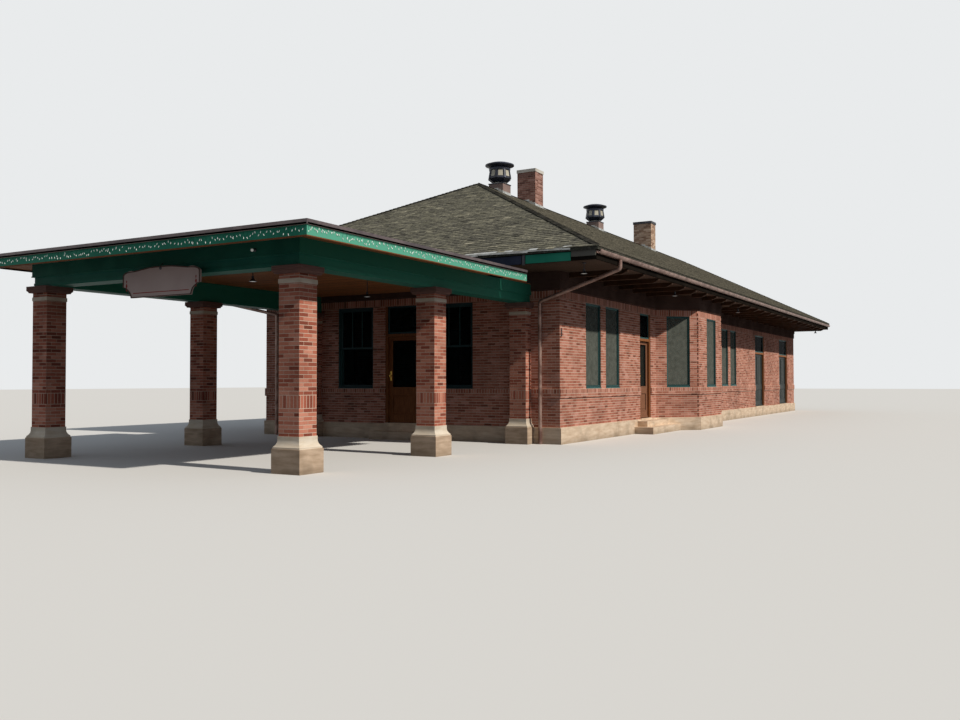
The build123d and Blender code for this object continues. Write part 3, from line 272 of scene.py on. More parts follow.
# Quarried sandstone, sawn and rubbed: even and matt, with faint bedding, few joints, and rain and
# soil stains that darken it towards the ground. Its 0.5 mm grain is drawn at 12 mm so that it shows.
@dataclass(frozen=True)
class RubbedSandstone(Finish):
    """Pale stone with bedding, a stained foot and wide-spaced joints."""

    name: str = "rubbed_sandstone"
    roughness: float = 0.85
    light: str = "#E6CFB4"
    dark: str = "#CDB295"
    stain: str = "#7A6854"
    stain_height: float = 0.16
    bed: float = 0.35
    blotch: float = 0.5
    grain: float = 0.012
    wet_foot: float = 0.45
    blotched: float = 0.5

    def surface(self, tree: bpy.types.NodeTree) -> dict:
        """Mottled colour with stains near the ground, and a slight grain.

        Args:
            tree: Node tree of the material.

        Returns:
            Base colour and normal, by the names of the shader's inputs.
        """
        node = partial(add_node, tree)
        place = node("TexCoord", output="Object")
        flat = node("VectorMath", {0: place, 1: (1, 1, 5)}, operation="MULTIPLY")
        bedding = node("TexNoise", {"Vector": flat, "Scale": 1 / self.bed, "Detail": 6.0})
        body = node("ValToRGB", {0: bedding}, stops=((0.32, self.dark), (0.66, self.light)))
        blotch = node("TexNoise", {"Vector": place, "Scale": 1 / self.blotch, "Detail": 5.0})
        height = node("SeparateXYZ", {0: place}, "Z")
        low = node("MapRange", {"Value": height, "From Min": self.stain_height,
                                "From Max": 0.0, "To Min": 0.0, "To Max": self.wet_foot})
        spread = node("MapRange", {"Value": blotch, "From Min": 0.5, "From Max": 0.78,
                                   "To Min": 0.0, "To Max": self.blotched})
        stained = node("Math", {0: low, 1: spread}, operation="ADD", use_clamp=True)
        colour = node("Mix", {0: stained, 6: body, 7: linear(self.stain)}, 2, data_type="RGBA")
        grain = node("TexNoise", {"Vector": place, "Scale": 1 / self.grain, "Detail": 3.0})
        bump = node("Bump", {"Height": grain, "Distance": self.relief, "Strength": 0.5})
        return {"Base Color": colour, "Normal": bump}


# Oil paint brushed on planed softwood: satin, slightly uneven, chalky in patches and worn through to
# grey wood in patches. Where a finish asks for it, its faces towards +X, where the key light falls, are
# painted lighter: a painted highlight of the sunlit side. Brush marks are too fine to show and are drawn
# at 130 mm. The lime render of the ventilators' curbs flakes in the same way, and is drawn with it.
@dataclass(frozen=True)
class OilPaint(Finish):
    """Brushed paint on boards, with a share worn bare and, where named, a painted highlight on the sunlit
    side.
    """

    name: str = "oil_paint"
    roughness: float = 0.5
    shine: float = 0.1
    paint: str = "#1F5B4A"
    faded: str = "#2F7661"
    worn: str = "#6E655B"
    wear: float = 0.0
    lit_side_paint: str = ""
    chalk: float = 0.6
    flake: float = 0.13

    def surface(self, tree: bpy.types.NodeTree) -> dict:
        """Uneven paint with brush marks, worn patches and, where asked, a painted highlight on the sunlit
        side.

        Args:
            tree: Node tree of the material.

        Returns:
            Base colour and normal, by the names of the shader's inputs.
        """
        node = partial(add_node, tree)
        place = node("TexCoord", output="Object")
        chalk = node("TexNoise", {"Vector": place, "Scale": 1 / self.chalk, "Detail": 5.0})
        colour = node("ValToRGB", {0: chalk}, stops=((0.35, self.paint), (0.7, self.faded)))
        flake = node("TexNoise", {"Vector": place, "Scale": 1 / self.flake, "Detail": 6.0, "Roughness": 0.65})
        if self.wear:
            bare = node("MapRange", {"Value": flake, "From Min": 0.78 - 0.3 * self.wear,
                                     "From Max": 0.84 - 0.3 * self.wear})
            colour = node("Mix", {0: bare, 6: colour, 7: linear(self.worn)}, 2, data_type="RGBA")
        # Faces turned towards +X, where the key light falls, are painted lighter: a painted highlight of the
        # sunlit side.
        if self.lit_side_paint:
            normal = node("NewGeometry", output="True Normal")
            east = node("SeparateXYZ", {0: normal}, "X")
            lit_side_mask = node("MapRange", {"Value": east, "From Min": 0.4, "From Max": 0.8})
            lit_side_share = node("Math", {0: lit_side_mask, 1: flake, 2: lit_side_mask}, operation="MULTIPLY_ADD", use_clamp=True)
            colour = node("Mix", {0: lit_side_share, 6: colour, 7: linear(self.lit_side_paint)}, 2, data_type="RGBA")
        bump = node("Bump", {"Height": flake, "Distance": self.relief, "Strength": 0.4})
        return {"Base Color": colour, "Normal": bump}


# Tongued and grooved boards, planed and oil-stained: brown, satin, the grain running along each
# board and a dark groove at every joint. Grain lines 1 mm apart are drawn at 12 mm so that they show.
@dataclass(frozen=True)
class StainedBoards(Finish):
    """Matched boards with grain along them."""

    name: str = "stained_boards"
    roughness: float = 0.6
    shine: float = 0.05
    light: str = "#8A5A3A"
    dark: str = "#55341F"
    groove: str = "#21150D"
    across: tuple[float, float, float] = (0, 1, 0)
    board: float = 0.09
    gap: float = 0.07
    relief: float = 0.003
    grain: float = 0.012
    variety: float = 0.35

    def surface(self, tree: bpy.types.NodeTree) -> dict:
        """Grain, one tint for each board, and grooves between them.

        Args:
            tree: Node tree of the material.

        Returns:
            Base colour and normal, by the names of the shader's inputs.
        """
        node = partial(add_node, tree)
        place = node("TexCoord", output="Object")
        run = node("VectorMath", {0: place, 1: self.across}, 1, operation="DOT_PRODUCT")
        count = node("Math", {0: run, 1: self.board}, operation="DIVIDE")
        number = node("Math", {0: count}, operation="FLOOR")
        part = node("Math", {0: count}, operation="FRACT")
        tint = node("TexWhiteNoise", {"W": number}, noise_dimensions="1D")
        stretch = tuple(1.0 if axis else 0.06 for axis in self.across)
        laid = node("VectorMath", {0: place, 1: stretch}, operation="MULTIPLY")
        grain = node("TexNoise", {"Vector": laid, "Scale": 1 / self.grain, "Detail": 5.0})
        mixed = node("Math", {0: tint, 1: self.variety, 2: grain}, operation="MULTIPLY_ADD")
        wood = node("ValToRGB", {0: mixed}, stops=((0.4, self.dark), (0.95, self.light)))
        edge = node("Math", {0: part, 1: self.gap}, operation="LESS_THAN")
        colour = node("Mix", {0: edge, 6: wood, 7: linear(self.groove)}, 2, data_type="RGBA")
        relief = node("Math", {0: edge, 1: -1.0, 2: grain}, operation="MULTIPLY_ADD")
        bump = node("Bump", {"Height": relief, "Distance": self.relief, "Strength": 0.6})
        return {"Base Color": colour, "Normal": bump}


# Sawn and planed softwood in one piece: the same grain and stain as boards, without their joints.
@dataclass(frozen=True)
class SawnTimber(StainedBoards):
    """Whole timber, as one board that is wider than anything here."""

    name: str = "sawn_timber"
    across: tuple[float, float, float] = (1, 1, 0)
    board: float = 40.0
    gap: float = 0.0


# Asphalt felt faced with crushed slate granules: quite matt, each tab a slightly different grey,
# with moss and soot washed down it. The 2 mm granules are drawn at 70 mm so that they show.
@dataclass(frozen=True)
class SlateGranules(Finish):
    """Granule-faced shingles, tinted tab by tab from the mesh's shade attribute."""

    name: str = "slate_granules"
    roughness: float = 0.95
    shine: float = 0.0
    tones: tuple[tuple[float, str], ...] = ((0.0, "#43423B"), (1.0, "#ACA58F"), (0.35, "#66635A"),
                                            (0.7, "#84806F"))
    moss: str = "#5E5E46"
    mossy: float = 0.3
    granule: float = 0.07
    drift: float = 0.28
    speckle: float = 2.2

    def surface(self, tree: bpy.types.NodeTree) -> dict:
        """Tab tints, granules and drifts of moss.

        Args:
            tree: Node tree of the material.

        Returns:
            Base colour and normal, by the names of the shader's inputs.
        """
        node = partial(add_node, tree)
        place = node("TexCoord", output="Object")
        shade = node("Attribute", output="Fac", attribute_name="shade")
        granule = node("TexNoise", {"Vector": place, "Scale": 1 / self.granule, "Detail": 4.0,
                                    "Roughness": 0.75})
        tone = node("Math", {0: granule, 1: self.speckle, 2: shade}, operation="MULTIPLY_ADD")
        tone = node("Math", {0: tone, 1: self.speckle / 2}, operation="SUBTRACT")
        felt = node("ValToRGB", {0: tone}, stops=self.tones)
        drift = node("TexNoise", {"Vector": place, "Scale": 1 / self.drift, "Detail": 7.0, "Roughness": 0.7})
        growth = node("MapRange", {"Value": drift, "From Min": 0.48, "From Max": 0.75,
                                   "To Min": 0.0, "To Max": self.mossy})
        colour = node("Mix", {0: growth, 6: felt, 7: linear(self.moss)}, 2, data_type="RGBA")
        bump = node("Bump", {"Height": granule, "Distance": self.relief, "Strength": 0.5})
        return {"Base Color": colour, "Normal": bump}


# Sheet metal, rolled and folded, then left to the weather: a thin worn coat with streaks of oxide
# and a dull gleam where rain keeps it clean.
@dataclass(frozen=True)
class WeatheredSheet(Finish):
    """Coated or bare sheet metal with patches of oxide."""

    name: str = "weathered_sheet"
    roughness: float = 0.45
    metal: str = "#6B4A40"
    oxide: str = "#3E2A25"
    metallic: float = 0.3
    patch: float = 0.25

    def constants(self) -> dict:
        """Roughness and how metallic it is."""
        return {"Roughness": self.roughness, "Metallic": self.metallic}

    def surface(self, tree: bpy.types.NodeTree) -> dict:
        """Streaks of oxide over the coat.

        Args:
            tree: Node tree of the material.

        Returns:
            Base colour and normal, by the names of the shader's inputs.
        """
        node = partial(add_node, tree)
        place = node("TexCoord", output="Object")
        streak = node("TexNoise", {"Vector": place, "Scale": 1 / self.patch, "Detail": 7.0,
                                   "Roughness": 0.65})
        colour = node("ValToRGB", {0: streak}, stops=((0.38, self.oxide), (0.62, self.metal)))
        bump = node("Bump", {"Height": streak, "Distance": self.relief, "Strength": 0.3})
        return {"Base Color": colour, "Normal": bump}


# Drawn sheet glass: flat and glossy, a faint green tint, and mostly seen as a dark pane with the
# room and its blinds behind it. Dust dulls its glare, so that it mirrors less than clean glass.
@dataclass(frozen=True)
class SheetGlass(Finish):
    """Thin window glass that lets most light through."""

    name: str = "sheet_glass"
    roughness: float = 0.04
    tint: str = "#161D1E"
    opacity: float = 0.6
    index: float = 1.03

    def constants(self) -> dict:
        """Dark tint, gloss and how much shows through."""
        return {"Roughness": self.roughness, "Base Color": linear(self.tint), "Alpha": self.opacity,
                "Specular IOR Level": self.shine, "IOR": self.index}


# Lacquered brass, turned and handled for years: warm metal, a little dull.
@dataclass(frozen=True)
class WornBrass(Finish):
    """Handled brass."""

    name: str = "worn_brass"
    roughness: float = 0.35
    metal: str = "#B8934A"

    def constants(self) -> dict:
        """Colour and shine of the metal."""
        return {"Roughness": self.roughness, "Metallic": 1.0, "Base Color": linear(self.metal)}


# Woven blind cloth, stiffened: pale grey and matt. The 1 mm weave is too fine to show, and is drawn as a
# soft unevenness 120 mm wide.
@dataclass(frozen=True)
class BlindCloth(Finish):
    """Roller blind cloth."""

    name: str = "blind_cloth"
    roughness: float = 0.9
    shine: float = 0.0
    cloth: str = "#9DA09A"
    shade: str = "#868A85"
    opacity: float = 1.0
    weave: float = 0.12

    def constants(self) -> dict:
        """Matt all over, and open where it is a mesh."""
        return {**super().constants(), "Alpha": self.opacity}

    def surface(self, tree: bpy.types.NodeTree) -> dict:
        """A faint weave and a few slack folds.

        Args:
            tree: Node tree of the material.

        Returns:
            Base colour, by the names of the shader's inputs.
        """
        node = partial(add_node, tree)
        place = node("TexCoord", output="Object")
        weave = node("TexNoise", {"Vector": place, "Scale": 1 / self.weave, "Detail": 6.0})
        colour = node("ValToRGB", {0: weave}, stops=((0.3, self.shade), (0.7, self.cloth)))
        return {"Base Color": colour}


# Opal glass, blown: white and smooth. It scatters what light enters it, which a faint glow stands for.
@dataclass(frozen=True)
class OpalGlass(Finish):
    """White bulb glass."""

    name: str = "opal_glass"
    roughness: float = 0.25
    body: str = "#F1F3EC"
    glow: float = 0.15

    def constants(self) -> dict:
        """White body and gloss."""
        return {"Roughness": self.roughness, "Base Color": linear(self.body), "Emission Strength": self.glow,
                "Emission Color": linear(self.body)}


BRICK = SandStruckBrick()
PILLAR_BRICK = SandStruckBrick(name="pillar_brick", start=(-2.281, -17.6575), pitch=(6.24, 3.935),
                               course_line=1.03, band_rise=0.015, bands=((1.03, 1.24),), mortar="#D9BDA7",
                               thin_and_shaded_head_joint="#C9A48D", reds=(
                                   (0.0, "#7C4536"), (1.0, "#D9967E"), (0.1, "#985443"), (0.34, "#B86C56"),
                                   (0.6, "#C47C65"), (0.84, "#CE8B74")))
CHIMNEY_BRICK = SandStruckBrick(name="chimney_brick", bands=(), far_from=5.0, mortar="#AC988A", reds=(
    (0.0, "#6E4A42"), (1.0, "#B98F82"), (0.3, "#8E6357"), (0.7, "#A27568")))
SANDSTONE = RubbedSandstone()
BASE_STONE = RubbedSandstone(name="base_stone", light="#E3D6C2", dark="#D2C0A7", stain_height=0.0)
PLINTH_STONE = RubbedSandstone(name="rock_faced_plinth", light="#D3B99E", dark="#AF957B")
CAP_STONE = RubbedSandstone(name="cap_stone", light="#D8D3C8", dark="#B8B1A4", stain_height=0.0)
# These two paints, like the teal paint below, have their faces towards +X painted lighter: a painted
# highlight where the sun falls.
GREEN_PAINT = OilPaint(name="green_oil_paint", paint="#14584A", faded="#236B5A", lit_side_paint="#2F8068")
FASCIA_PAINT = OilPaint(name="fascia_oil_paint", paint="#1C7259", faded="#2C8469", wear=0.12,
                        worn="#4F7564", lit_side_paint="#5CA98D")
EAVE_PAINT = OilPaint(name="eave_oil_paint", paint="#1E7A63", faded="#2F8B72", wear=0.3, worn="#3C5A4E")
# Near-black paint for the side fascias under the gutters and the board at the shelter's neck: painted shade,
# the dark of the shadow that they sit in.
SHADOW_PAINT = OilPaint(name="painted_shade_oil_paint", shine=0.0, paint="#1A1714", faded="#26211C", wear=0.1,
                        worn="#3A2F28")
NAVY_PAINT = OilPaint(name="navy_oil_paint", paint="#252C3F", faded="#343B4E")
BARE_BOARD = OilPaint(name="weathered_board", paint="#56534D", faded="#68655D", wear=0.2, worn="#47423B")
CURB_RENDER = OilPaint(name="lime_render", roughness=0.9, paint="#84706A", faded="#9C867C", wear=0.35,
                       worn="#A0705F")
FRIEZE_PAINT = OilPaint(name="frieze_oil_paint", shine=0.0, paint="#503D35", faded="#665147", wear=0.15,
                        worn="#7A6558")
# Its faces towards +X are painted lighter: a painted highlight where the sun falls.
TEAL_PAINT = OilPaint(name="teal_oil_paint", paint="#15282B", faded="#1F3739", wear=0.1, lit_side_paint="#3C615F")
DOOR_PAINT = OilPaint(name="grey_door_paint", paint="#2F3433", faded="#3E423E", wear=0.35, worn="#564D43")
CREAM_PAINT = OilPaint(name="cream_oil_paint", paint="#C4AEA6", faded="#D0BCB3")
TIMBER_EDGE = OilPaint(name="buff_oil_paint", paint="#4E3A33", faded="#604A40")
RED_PAINT = OilPaint(name="red_oil_paint", paint="#8E2F2B", faded="#A4423B")
WHITE_PAINT = OilPaint(name="white_oil_paint", paint="#C9C6BC", faded="#D6D3CA")
SOFFIT_BOARDS = StainedBoards(light="#5C4B3F", dark="#3D3129")
CEILING_BOARDS = StainedBoards(name="ceiling_boards", light="#C07F52", dark="#8E5A38")
FLOOR_BOARDS = StainedBoards(name="floor_boards", light="#8A6A4A", dark="#5C432C", across=(1, 0, 0))
RAFTER_TIMBER = SawnTimber(name="rafter_timber", light="#5F4230", dark="#3B2A1E", across=(0, 1, 0))
BROWN_TIMBER = SawnTimber(name="varnished_timber", light="#A0683F", dark="#70442B")
SUNNED_TIMBER = SawnTimber(name="sunned_timber", light="#94684E", dark="#694534")
CAP_TIMBER = SawnTimber(name="cap_timber", light="#8B6A60", dark="#5F463E", across=(0, 0, 1))
SHINGLE = SlateGranules()
# The right slope's copy, with more moss and a flatter range of greys: partly moss, partly painted shade,
# since that slope reads darker and greener in its light.
MOSS_AND_SHADE_SHINGLE = SlateGranules(name="moss_and_shade_granules", mossy=0.4, tones=(
    (0.0, "#5A574D"), (1.0, "#9C9685"), (0.35, "#6E6A5E"), (0.7, "#837D6F")))
# Near-black caps along the ridge and hips: painted shade, the dark shadow line along them.
SHADE_LINE_CAP_SHINGLE = SlateGranules(name="shade_line_cap_granules", tones=(
    (0.0, "#2B2A27"), (1.0, "#56534C"), (0.5, "#3F3D38")))
ROLL_ROOFING = SlateGranules(name="roll_granules", tones=(
    (0.0, "#55534E"), (1.0, "#8C8982"), (0.5, "#706E68")))
GUTTER_METAL = WeatheredSheet(name="brown_coated_steel", metal="#A5877A", oxide="#6B4C41")
DARK_METAL = WeatheredSheet(name="blackened_steel", metal="#2B2E36", oxide="#1B1A1D", patch=0.4)
EDGE_METAL = WeatheredSheet(name="taupe_edge_steel", metal="#6B5D5C", oxide="#4B4143", patch=0.5)
BROWN_METAL = WeatheredSheet(name="brown_edge_steel", metal="#77665F", oxide="#574843", patch=0.6)
COWL_METAL = WeatheredSheet(name="navy_coated_steel", metal="#242B3D", oxide="#191C26", patch=0.3)
CREAM_METAL = WeatheredSheet(name="cream_coated_steel", metal="#C9C2AE", oxide="#A59E8B", metallic=0.0)
LEAD_SHEET = WeatheredSheet(name="zinc_flashing", metal="#C2C4C0", oxide="#96958F", patch=0.2)
GLASS = SheetGlass()
BRASS = WornBrass()
BLIND = BlindCloth()
CURTAIN = BlindCloth(name="curtain_cloth", cloth="#DCCBAE", shade="#BBA98C")
SCREEN = BlindCloth(name="screen_mesh", cloth="#6F7269", shade="#5B5E56", opacity=0.7)
OPAL = OpalGlass()


class Shape:
    """Faces of one piece, gathered before they become a mesh."""

    def __init__(self) -> None:
        """Starts with nothing."""
        self.points: list[tuple[float, ...]] = []
        self.faces: list[tuple[int, ...]] = []

    def skin(self, rings: Sequence[Sequence[Point]]) -> "Shape":
        """Adds a closed solid through rings with the same number of points.

        Args:
            rings: Outlines from one end to the other.

        Returns:
            The same shape, so that calls can follow each other.
        """
        start, count = len(self.points), len(rings[0])
        for ring in rings:
            self.points += [tuple(point) for point in ring]
        for level in range(len(rings) - 1):
            for place in range(count):
                a = start + level * count + place
                b = start + level * count + (place + 1) % count
                self.faces.append((a, b, b + count, a + count))
        last = start + (len(rings) - 1) * count
        self.faces.append(tuple(range(start + count - 1, start - 1, -1)))
        self.faces.append(tuple(range(last, last + count)))
        return self

    def box(self, low: Point, high: Point) -> "Shape":
        """Adds a block between two opposite corners."""
        (x0, y0, z0), (x1, y1, z1) = low, high
        return self.skin([[(x0, y0, z), (x1, y0, z), (x1, y1, z), (x0, y1, z)] for z in (z0, z1)])

    def bar(self, start: Point, end: Point, width: float, depth: float, out: Point = UP) -> "Shape":
        """Adds a straight bar.

        Args:
            start: Middle of one end.
            end: Middle of the other end.
            width: Size across, square to out.
            depth: Size along out.
            out: Direction that its depth faces.

        Returns:
            The same shape.
        """
        start, end = Vector(start), Vector(end)
        run = (end - start).normalized()
        side = run.cross(Vector(out)).normalized() * width / 2
        lift = side.cross(run).normalized() * depth / 2
        corners = (side + lift, lift - side, -side - lift, side - lift)
        return self.skin([[start + c for c in corners], [end + c for c in corners]])

    def lathe(self, foot: Point, profile: Sequence[Point], sides: int = 16, axis: Point = UP) -> "Shape":
        """Adds a turned solid.

        Args:
            foot: Point on the axis that heights are measured from.
            profile: Pairs of height and radius.
            sides: Number of flats round it.
            axis: Direction of the axis.

        Returns:
            The same shape.
        """
        axis = Vector(axis).normalized()
        across = axis.orthogonal().normalized()
        beside = axis.cross(across)
        turns = [math.tau * (place + 0.5) / sides for place in range(sides)]
        spokes = [across * math.cos(a) + beside * math.sin(a) for a in turns]
        return self.skin([[Vector(foot) + axis * height + spoke * radius for spoke in spokes]
                          for height, radius in profile])

    def tube(self, path: Sequence[Point], radius: float, sides: int = 6) -> "Shape":
        """Adds a round tube.

        Args:
            path: Points along its middle.
            radius: Radius all along it.
            sides: Number of flats round it.

        Returns:
            The same shape.
        """
        path = [Vector(point) for point in path]
        rings = []
        for place, point in enumerate(path):
            run = path[min(place + 1, len(path) - 1)] - path[max(place - 1, 0)]
            side = run.cross(UP)
            side = side.normalized() if side.length > 1e-6 else Vector((1, 0, 0))
            lift = side.cross(run).normalized()
            rings.append([point + (side * math.cos(a) + lift * math.sin(a)) * radius
                          for a in (math.tau * turn / sides for turn in range(sides))])
        return self.skin(rings)

    def piece(self, name: str, finish: Finish, slot: Slot, body: str = "building", bevel: float = 0.0,
              smooth: float = 0.0) -> bpy.types.Object:
        """Makes the object, gives it its finish and fixes it to a body.

        Args:
            name: The piece's name.
            finish: What it is made of.
            slot: The record's material slot; not used.
            body: CAD body that it moves with.
            bevel: Width taken off every edge.
            smooth: Angle in degrees under which edges are smooth.

        Returns:
            The new object.
        """
        mesh = bpy.data.meshes.new(name)
        work = bmesh.new()
        points = [work.verts.new(point) for point in self.points]
        for face in self.faces:
            work.faces.new([points[corner] for corner in face])
        bmesh.ops.recalc_face_normals(work, faces=work.faces[:])
        if bevel:
            bmesh.ops.bevel(work, geom=work.edges[:], offset=bevel, segments=1, affect="EDGES", profile=0.5,
                            clamp_overlap=True)
        work.to_mesh(mesh)
        work.free()
        if smooth:
            mesh.shade_smooth()
            mesh.set_sharp_from_angle(angle=math.radians(smooth))
        return place_piece(name, mesh, finish, body)


def place_piece(name: str, mesh: bpy.types.Mesh, finish: Finish, body: str) -> bpy.types.Object:
    """Puts a finished mesh in the scene, gives it its finish and fixes it to a body.

    Args:
        name: The piece's name.
        mesh: Its mesh.
        finish: What it is made of.
        body: CAD body that it moves with.

    Returns:
        The new object.
    """
    piece = bpy.data.objects.new(name, mesh)
    bpy.context.scene.collection.objects.link(piece)
    mesh.materials.append(finish.material())
    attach(piece, body)
    log.info("%s: %d faces", name, len(mesh.polygons))
    return piece


class Edge(Enum):
    """The eight walls of the plan, in order round the building."""

    FRONT = 0
    RIGHT_NEAR = 1
    BAY_NEAR = 2
    BAY_FRONT = 3
    BAY_FAR = 4
    RIGHT_FAR = 5
    REAR = 6
    LEFT = 7


@dataclass
class Plan:
    """Outer face of the brick walls in plan, with the outside on the right hand."""

    left: float = -4.05
    right: float = 4.915
    front: float = -9.7315
    back: float = 18.0785
    bay_start: float = 6.79
    bay_depth: float = 1.0
    bay_front: float = 2.51
    entry: float = 4.59

    def bay_end(self) -> float:
        """Where the bay's far splay meets the right wall again, from the near corner."""
        return self.bay_start + 2 * self.bay_depth + self.bay_front

    def corners(self) -> list[Pair]:
        """Finds the corners of the plan.

        Returns:
            The eight corners, each the start of its wall.
        """
        bay = self.front + self.bay_start
        out = self.right + self.bay_depth
        return [(self.left, self.front), (self.right, self.front), (self.right, bay),
                (out, bay + self.bay_depth), (out, bay + self.bay_depth + self.bay_front),
                (self.right, bay + 2 * self.bay_depth + self.bay_front), (self.right, self.back),
                (self.left, self.back)]

    def ends(self, edge: Edge) -> tuple[Pair, Pair]:
        """Start and end of a wall."""
        corners = self.corners()
        return corners[edge.value], corners[(edge.value + 1) % len(Edge)]

    def run(self, edge: Edge) -> Vector:
        """Unit vector along a wall."""
        (x0, y0), (x1, y1) = self.ends(edge)
        return Vector((x1 - x0, y1 - y0, 0)).normalized()

    def out(self, edge: Edge) -> Vector:
        """Unit vector outwards from a wall."""
        run = self.run(edge)
        return Vector((run.y, -run.x, 0))

    def length(self, edge: Edge) -> float:
        """Length of a wall's outer face."""
        return math.dist(*self.ends(edge))

    def at(self, edge: Edge, along: float, out: float, height: float) -> Vector:
        """Point on a wall: distance along it, outwards from its face, and up."""
        x, y = self.corners()[edge.value]
        return Vector((x, y, height)) + self.run(edge) * along + self.out(edge) * out

    def block(self, shape: Shape, edge: Edge, along: Point, out: Point, height: Point) -> None:
        """Adds a block on a wall, between two values each along it, outwards and up."""
        ring = [(along[0], out[0]), (along[1], out[0]), (along[1], out[1]), (along[0], out[1])]
        shape.skin([[self.at(edge, a, o, z) for a, o in ring] for z in height])

    def border(self, shape: Shape, edge: Edge, along: Point, height: Point, width: float,
               out: Point) -> None:
        """Adds four mitred strips round a rectangle on a wall.

        Args:
            shape: Shape that they are added to.
            edge: The wall.
            along: Two sides of the rectangle, along the wall.
            height: Its foot and top.
            width: Width of the strips, which lie outside the rectangle.
            out: Their back and face, outwards from the wall.
        """
        (a0, a1), (z0, z1) = along, height
        inner = [(a0, z0), (a1, z0), (a1, z1), (a0, z1)]
        outer = [(a0 - width, z0 - width), (a1 + width, z0 - width), (a1 + width, z1 + width),
                 (a0 - width, z1 + width)]
        for place in range(4):
            after = (place + 1) % 4
            ring = [inner[place], inner[after], outer[after], outer[place]]
            shape.skin([[self.at(edge, a, o, z) for a, z in ring] for o in out])


PLAN = Plan()


@dataclass
class CadNodes:
    """Gives every shown CAD node its finish."""

    finishes: dict[Finish, tuple[str, ...]] = field(default_factory=lambda: {
        BRICK: ("front_wall", "right_wall", "bay_side_walls", "bay_front_wall", "rear_wall", "left_wall",
                "door_lintels"),
        CHIMNEY_BRICK: ("chimney_stacks",),
        CURB_RENDER: ("ventilator_bases",),
        PILLAR_BRICK: ("pillar_shafts",),
        SANDSTONE: ("foundation", "door_sills", "front_step", "side_steps"),
        BASE_STONE: ("pillar_stones",),
        PLINTH_STONE: ("pillar_plinths",),
        CAP_STONE: ("chimney_caps",),
        FLOOR_BOARDS: ("floor",),
        WHITE_PAINT: ("room_ceiling",),
        FRIEZE_PAINT: ("frieze",),
        SOFFIT_BOARDS: ("soffit",),
        RAFTER_TIMBER: ("rafter_tails",),
        CEILING_BOARDS: ("shelter_ceiling",),
        SHADOW_PAINT: ("eave_fascia",),
        SHINGLE: ("roof_near", "roof_left", "roof_far", "roof_right", "roof_caps"),
        GUTTER_METAL: ("gutters", "downspouts"),
        COWL_METAL: ("ventilators",),
        BROWN_TIMBER: ("front_door", "door_frames"),
        SUNNED_TIMBER: ("side_door",),
        CAP_TIMBER: ("pillar_caps",),
        GREEN_PAINT: ("shelter_beams",),
        FASCIA_PAINT: ("shelter_fascia",),
        ROLL_ROOFING: ("shelter_roof",),
        EDGE_METAL: ("shelter_drip_edge",),
        DARK_METAL: ("door_hinges", "sign_hangers", "shelter_lamps", "eave_lamps"),
        TEAL_PAINT: ("window_frames", "window_sashes"),
        DOOR_PAINT: ("baggage_door_near", "baggage_door_far", "freight_door_near", "freight_door_far"),
        GLASS: ("window_panes", "front_door_pane", "side_door_pane"),
        BRASS: ("front_door_knobs", "side_door_knobs"),
        CREAM_PAINT: ("sign_board",),
    })

    def dress(self) -> None:
        """Puts one finish in the material slot of each node."""
        for finish, nodes in self.finishes.items():
            for node in nodes:
                mesh = frame["nodes"][node].data
                mesh.materials.clear()
                mesh.materials.append(finish.material())
        log.info("CAD nodes: %d dressed", sum(len(nodes) for nodes in self.finishes.values()))


@dataclass
class Slope:
    """One slope of the main roof.

    Attributes:
        name: Name of its piece.
        corner: Corner of the eave, in plan, that the courses start from.
        along: Direction of the eave in plan.
        inward: Direction up the slope in plan.
        length: Length of the eave.
        run: Depth of the slope in plan.
        leans: How far its two sides lean in, in plan, by the ridge.
        overhang: How far the first course hangs past the eave.
        finish: What the shingles are.
    """

    name: str
    corner: Pair
    along: Pair
    inward: Pair
    length: float
    run: float
    leans: Pair
    overhang: float
    finish: Finish = SHINGLE


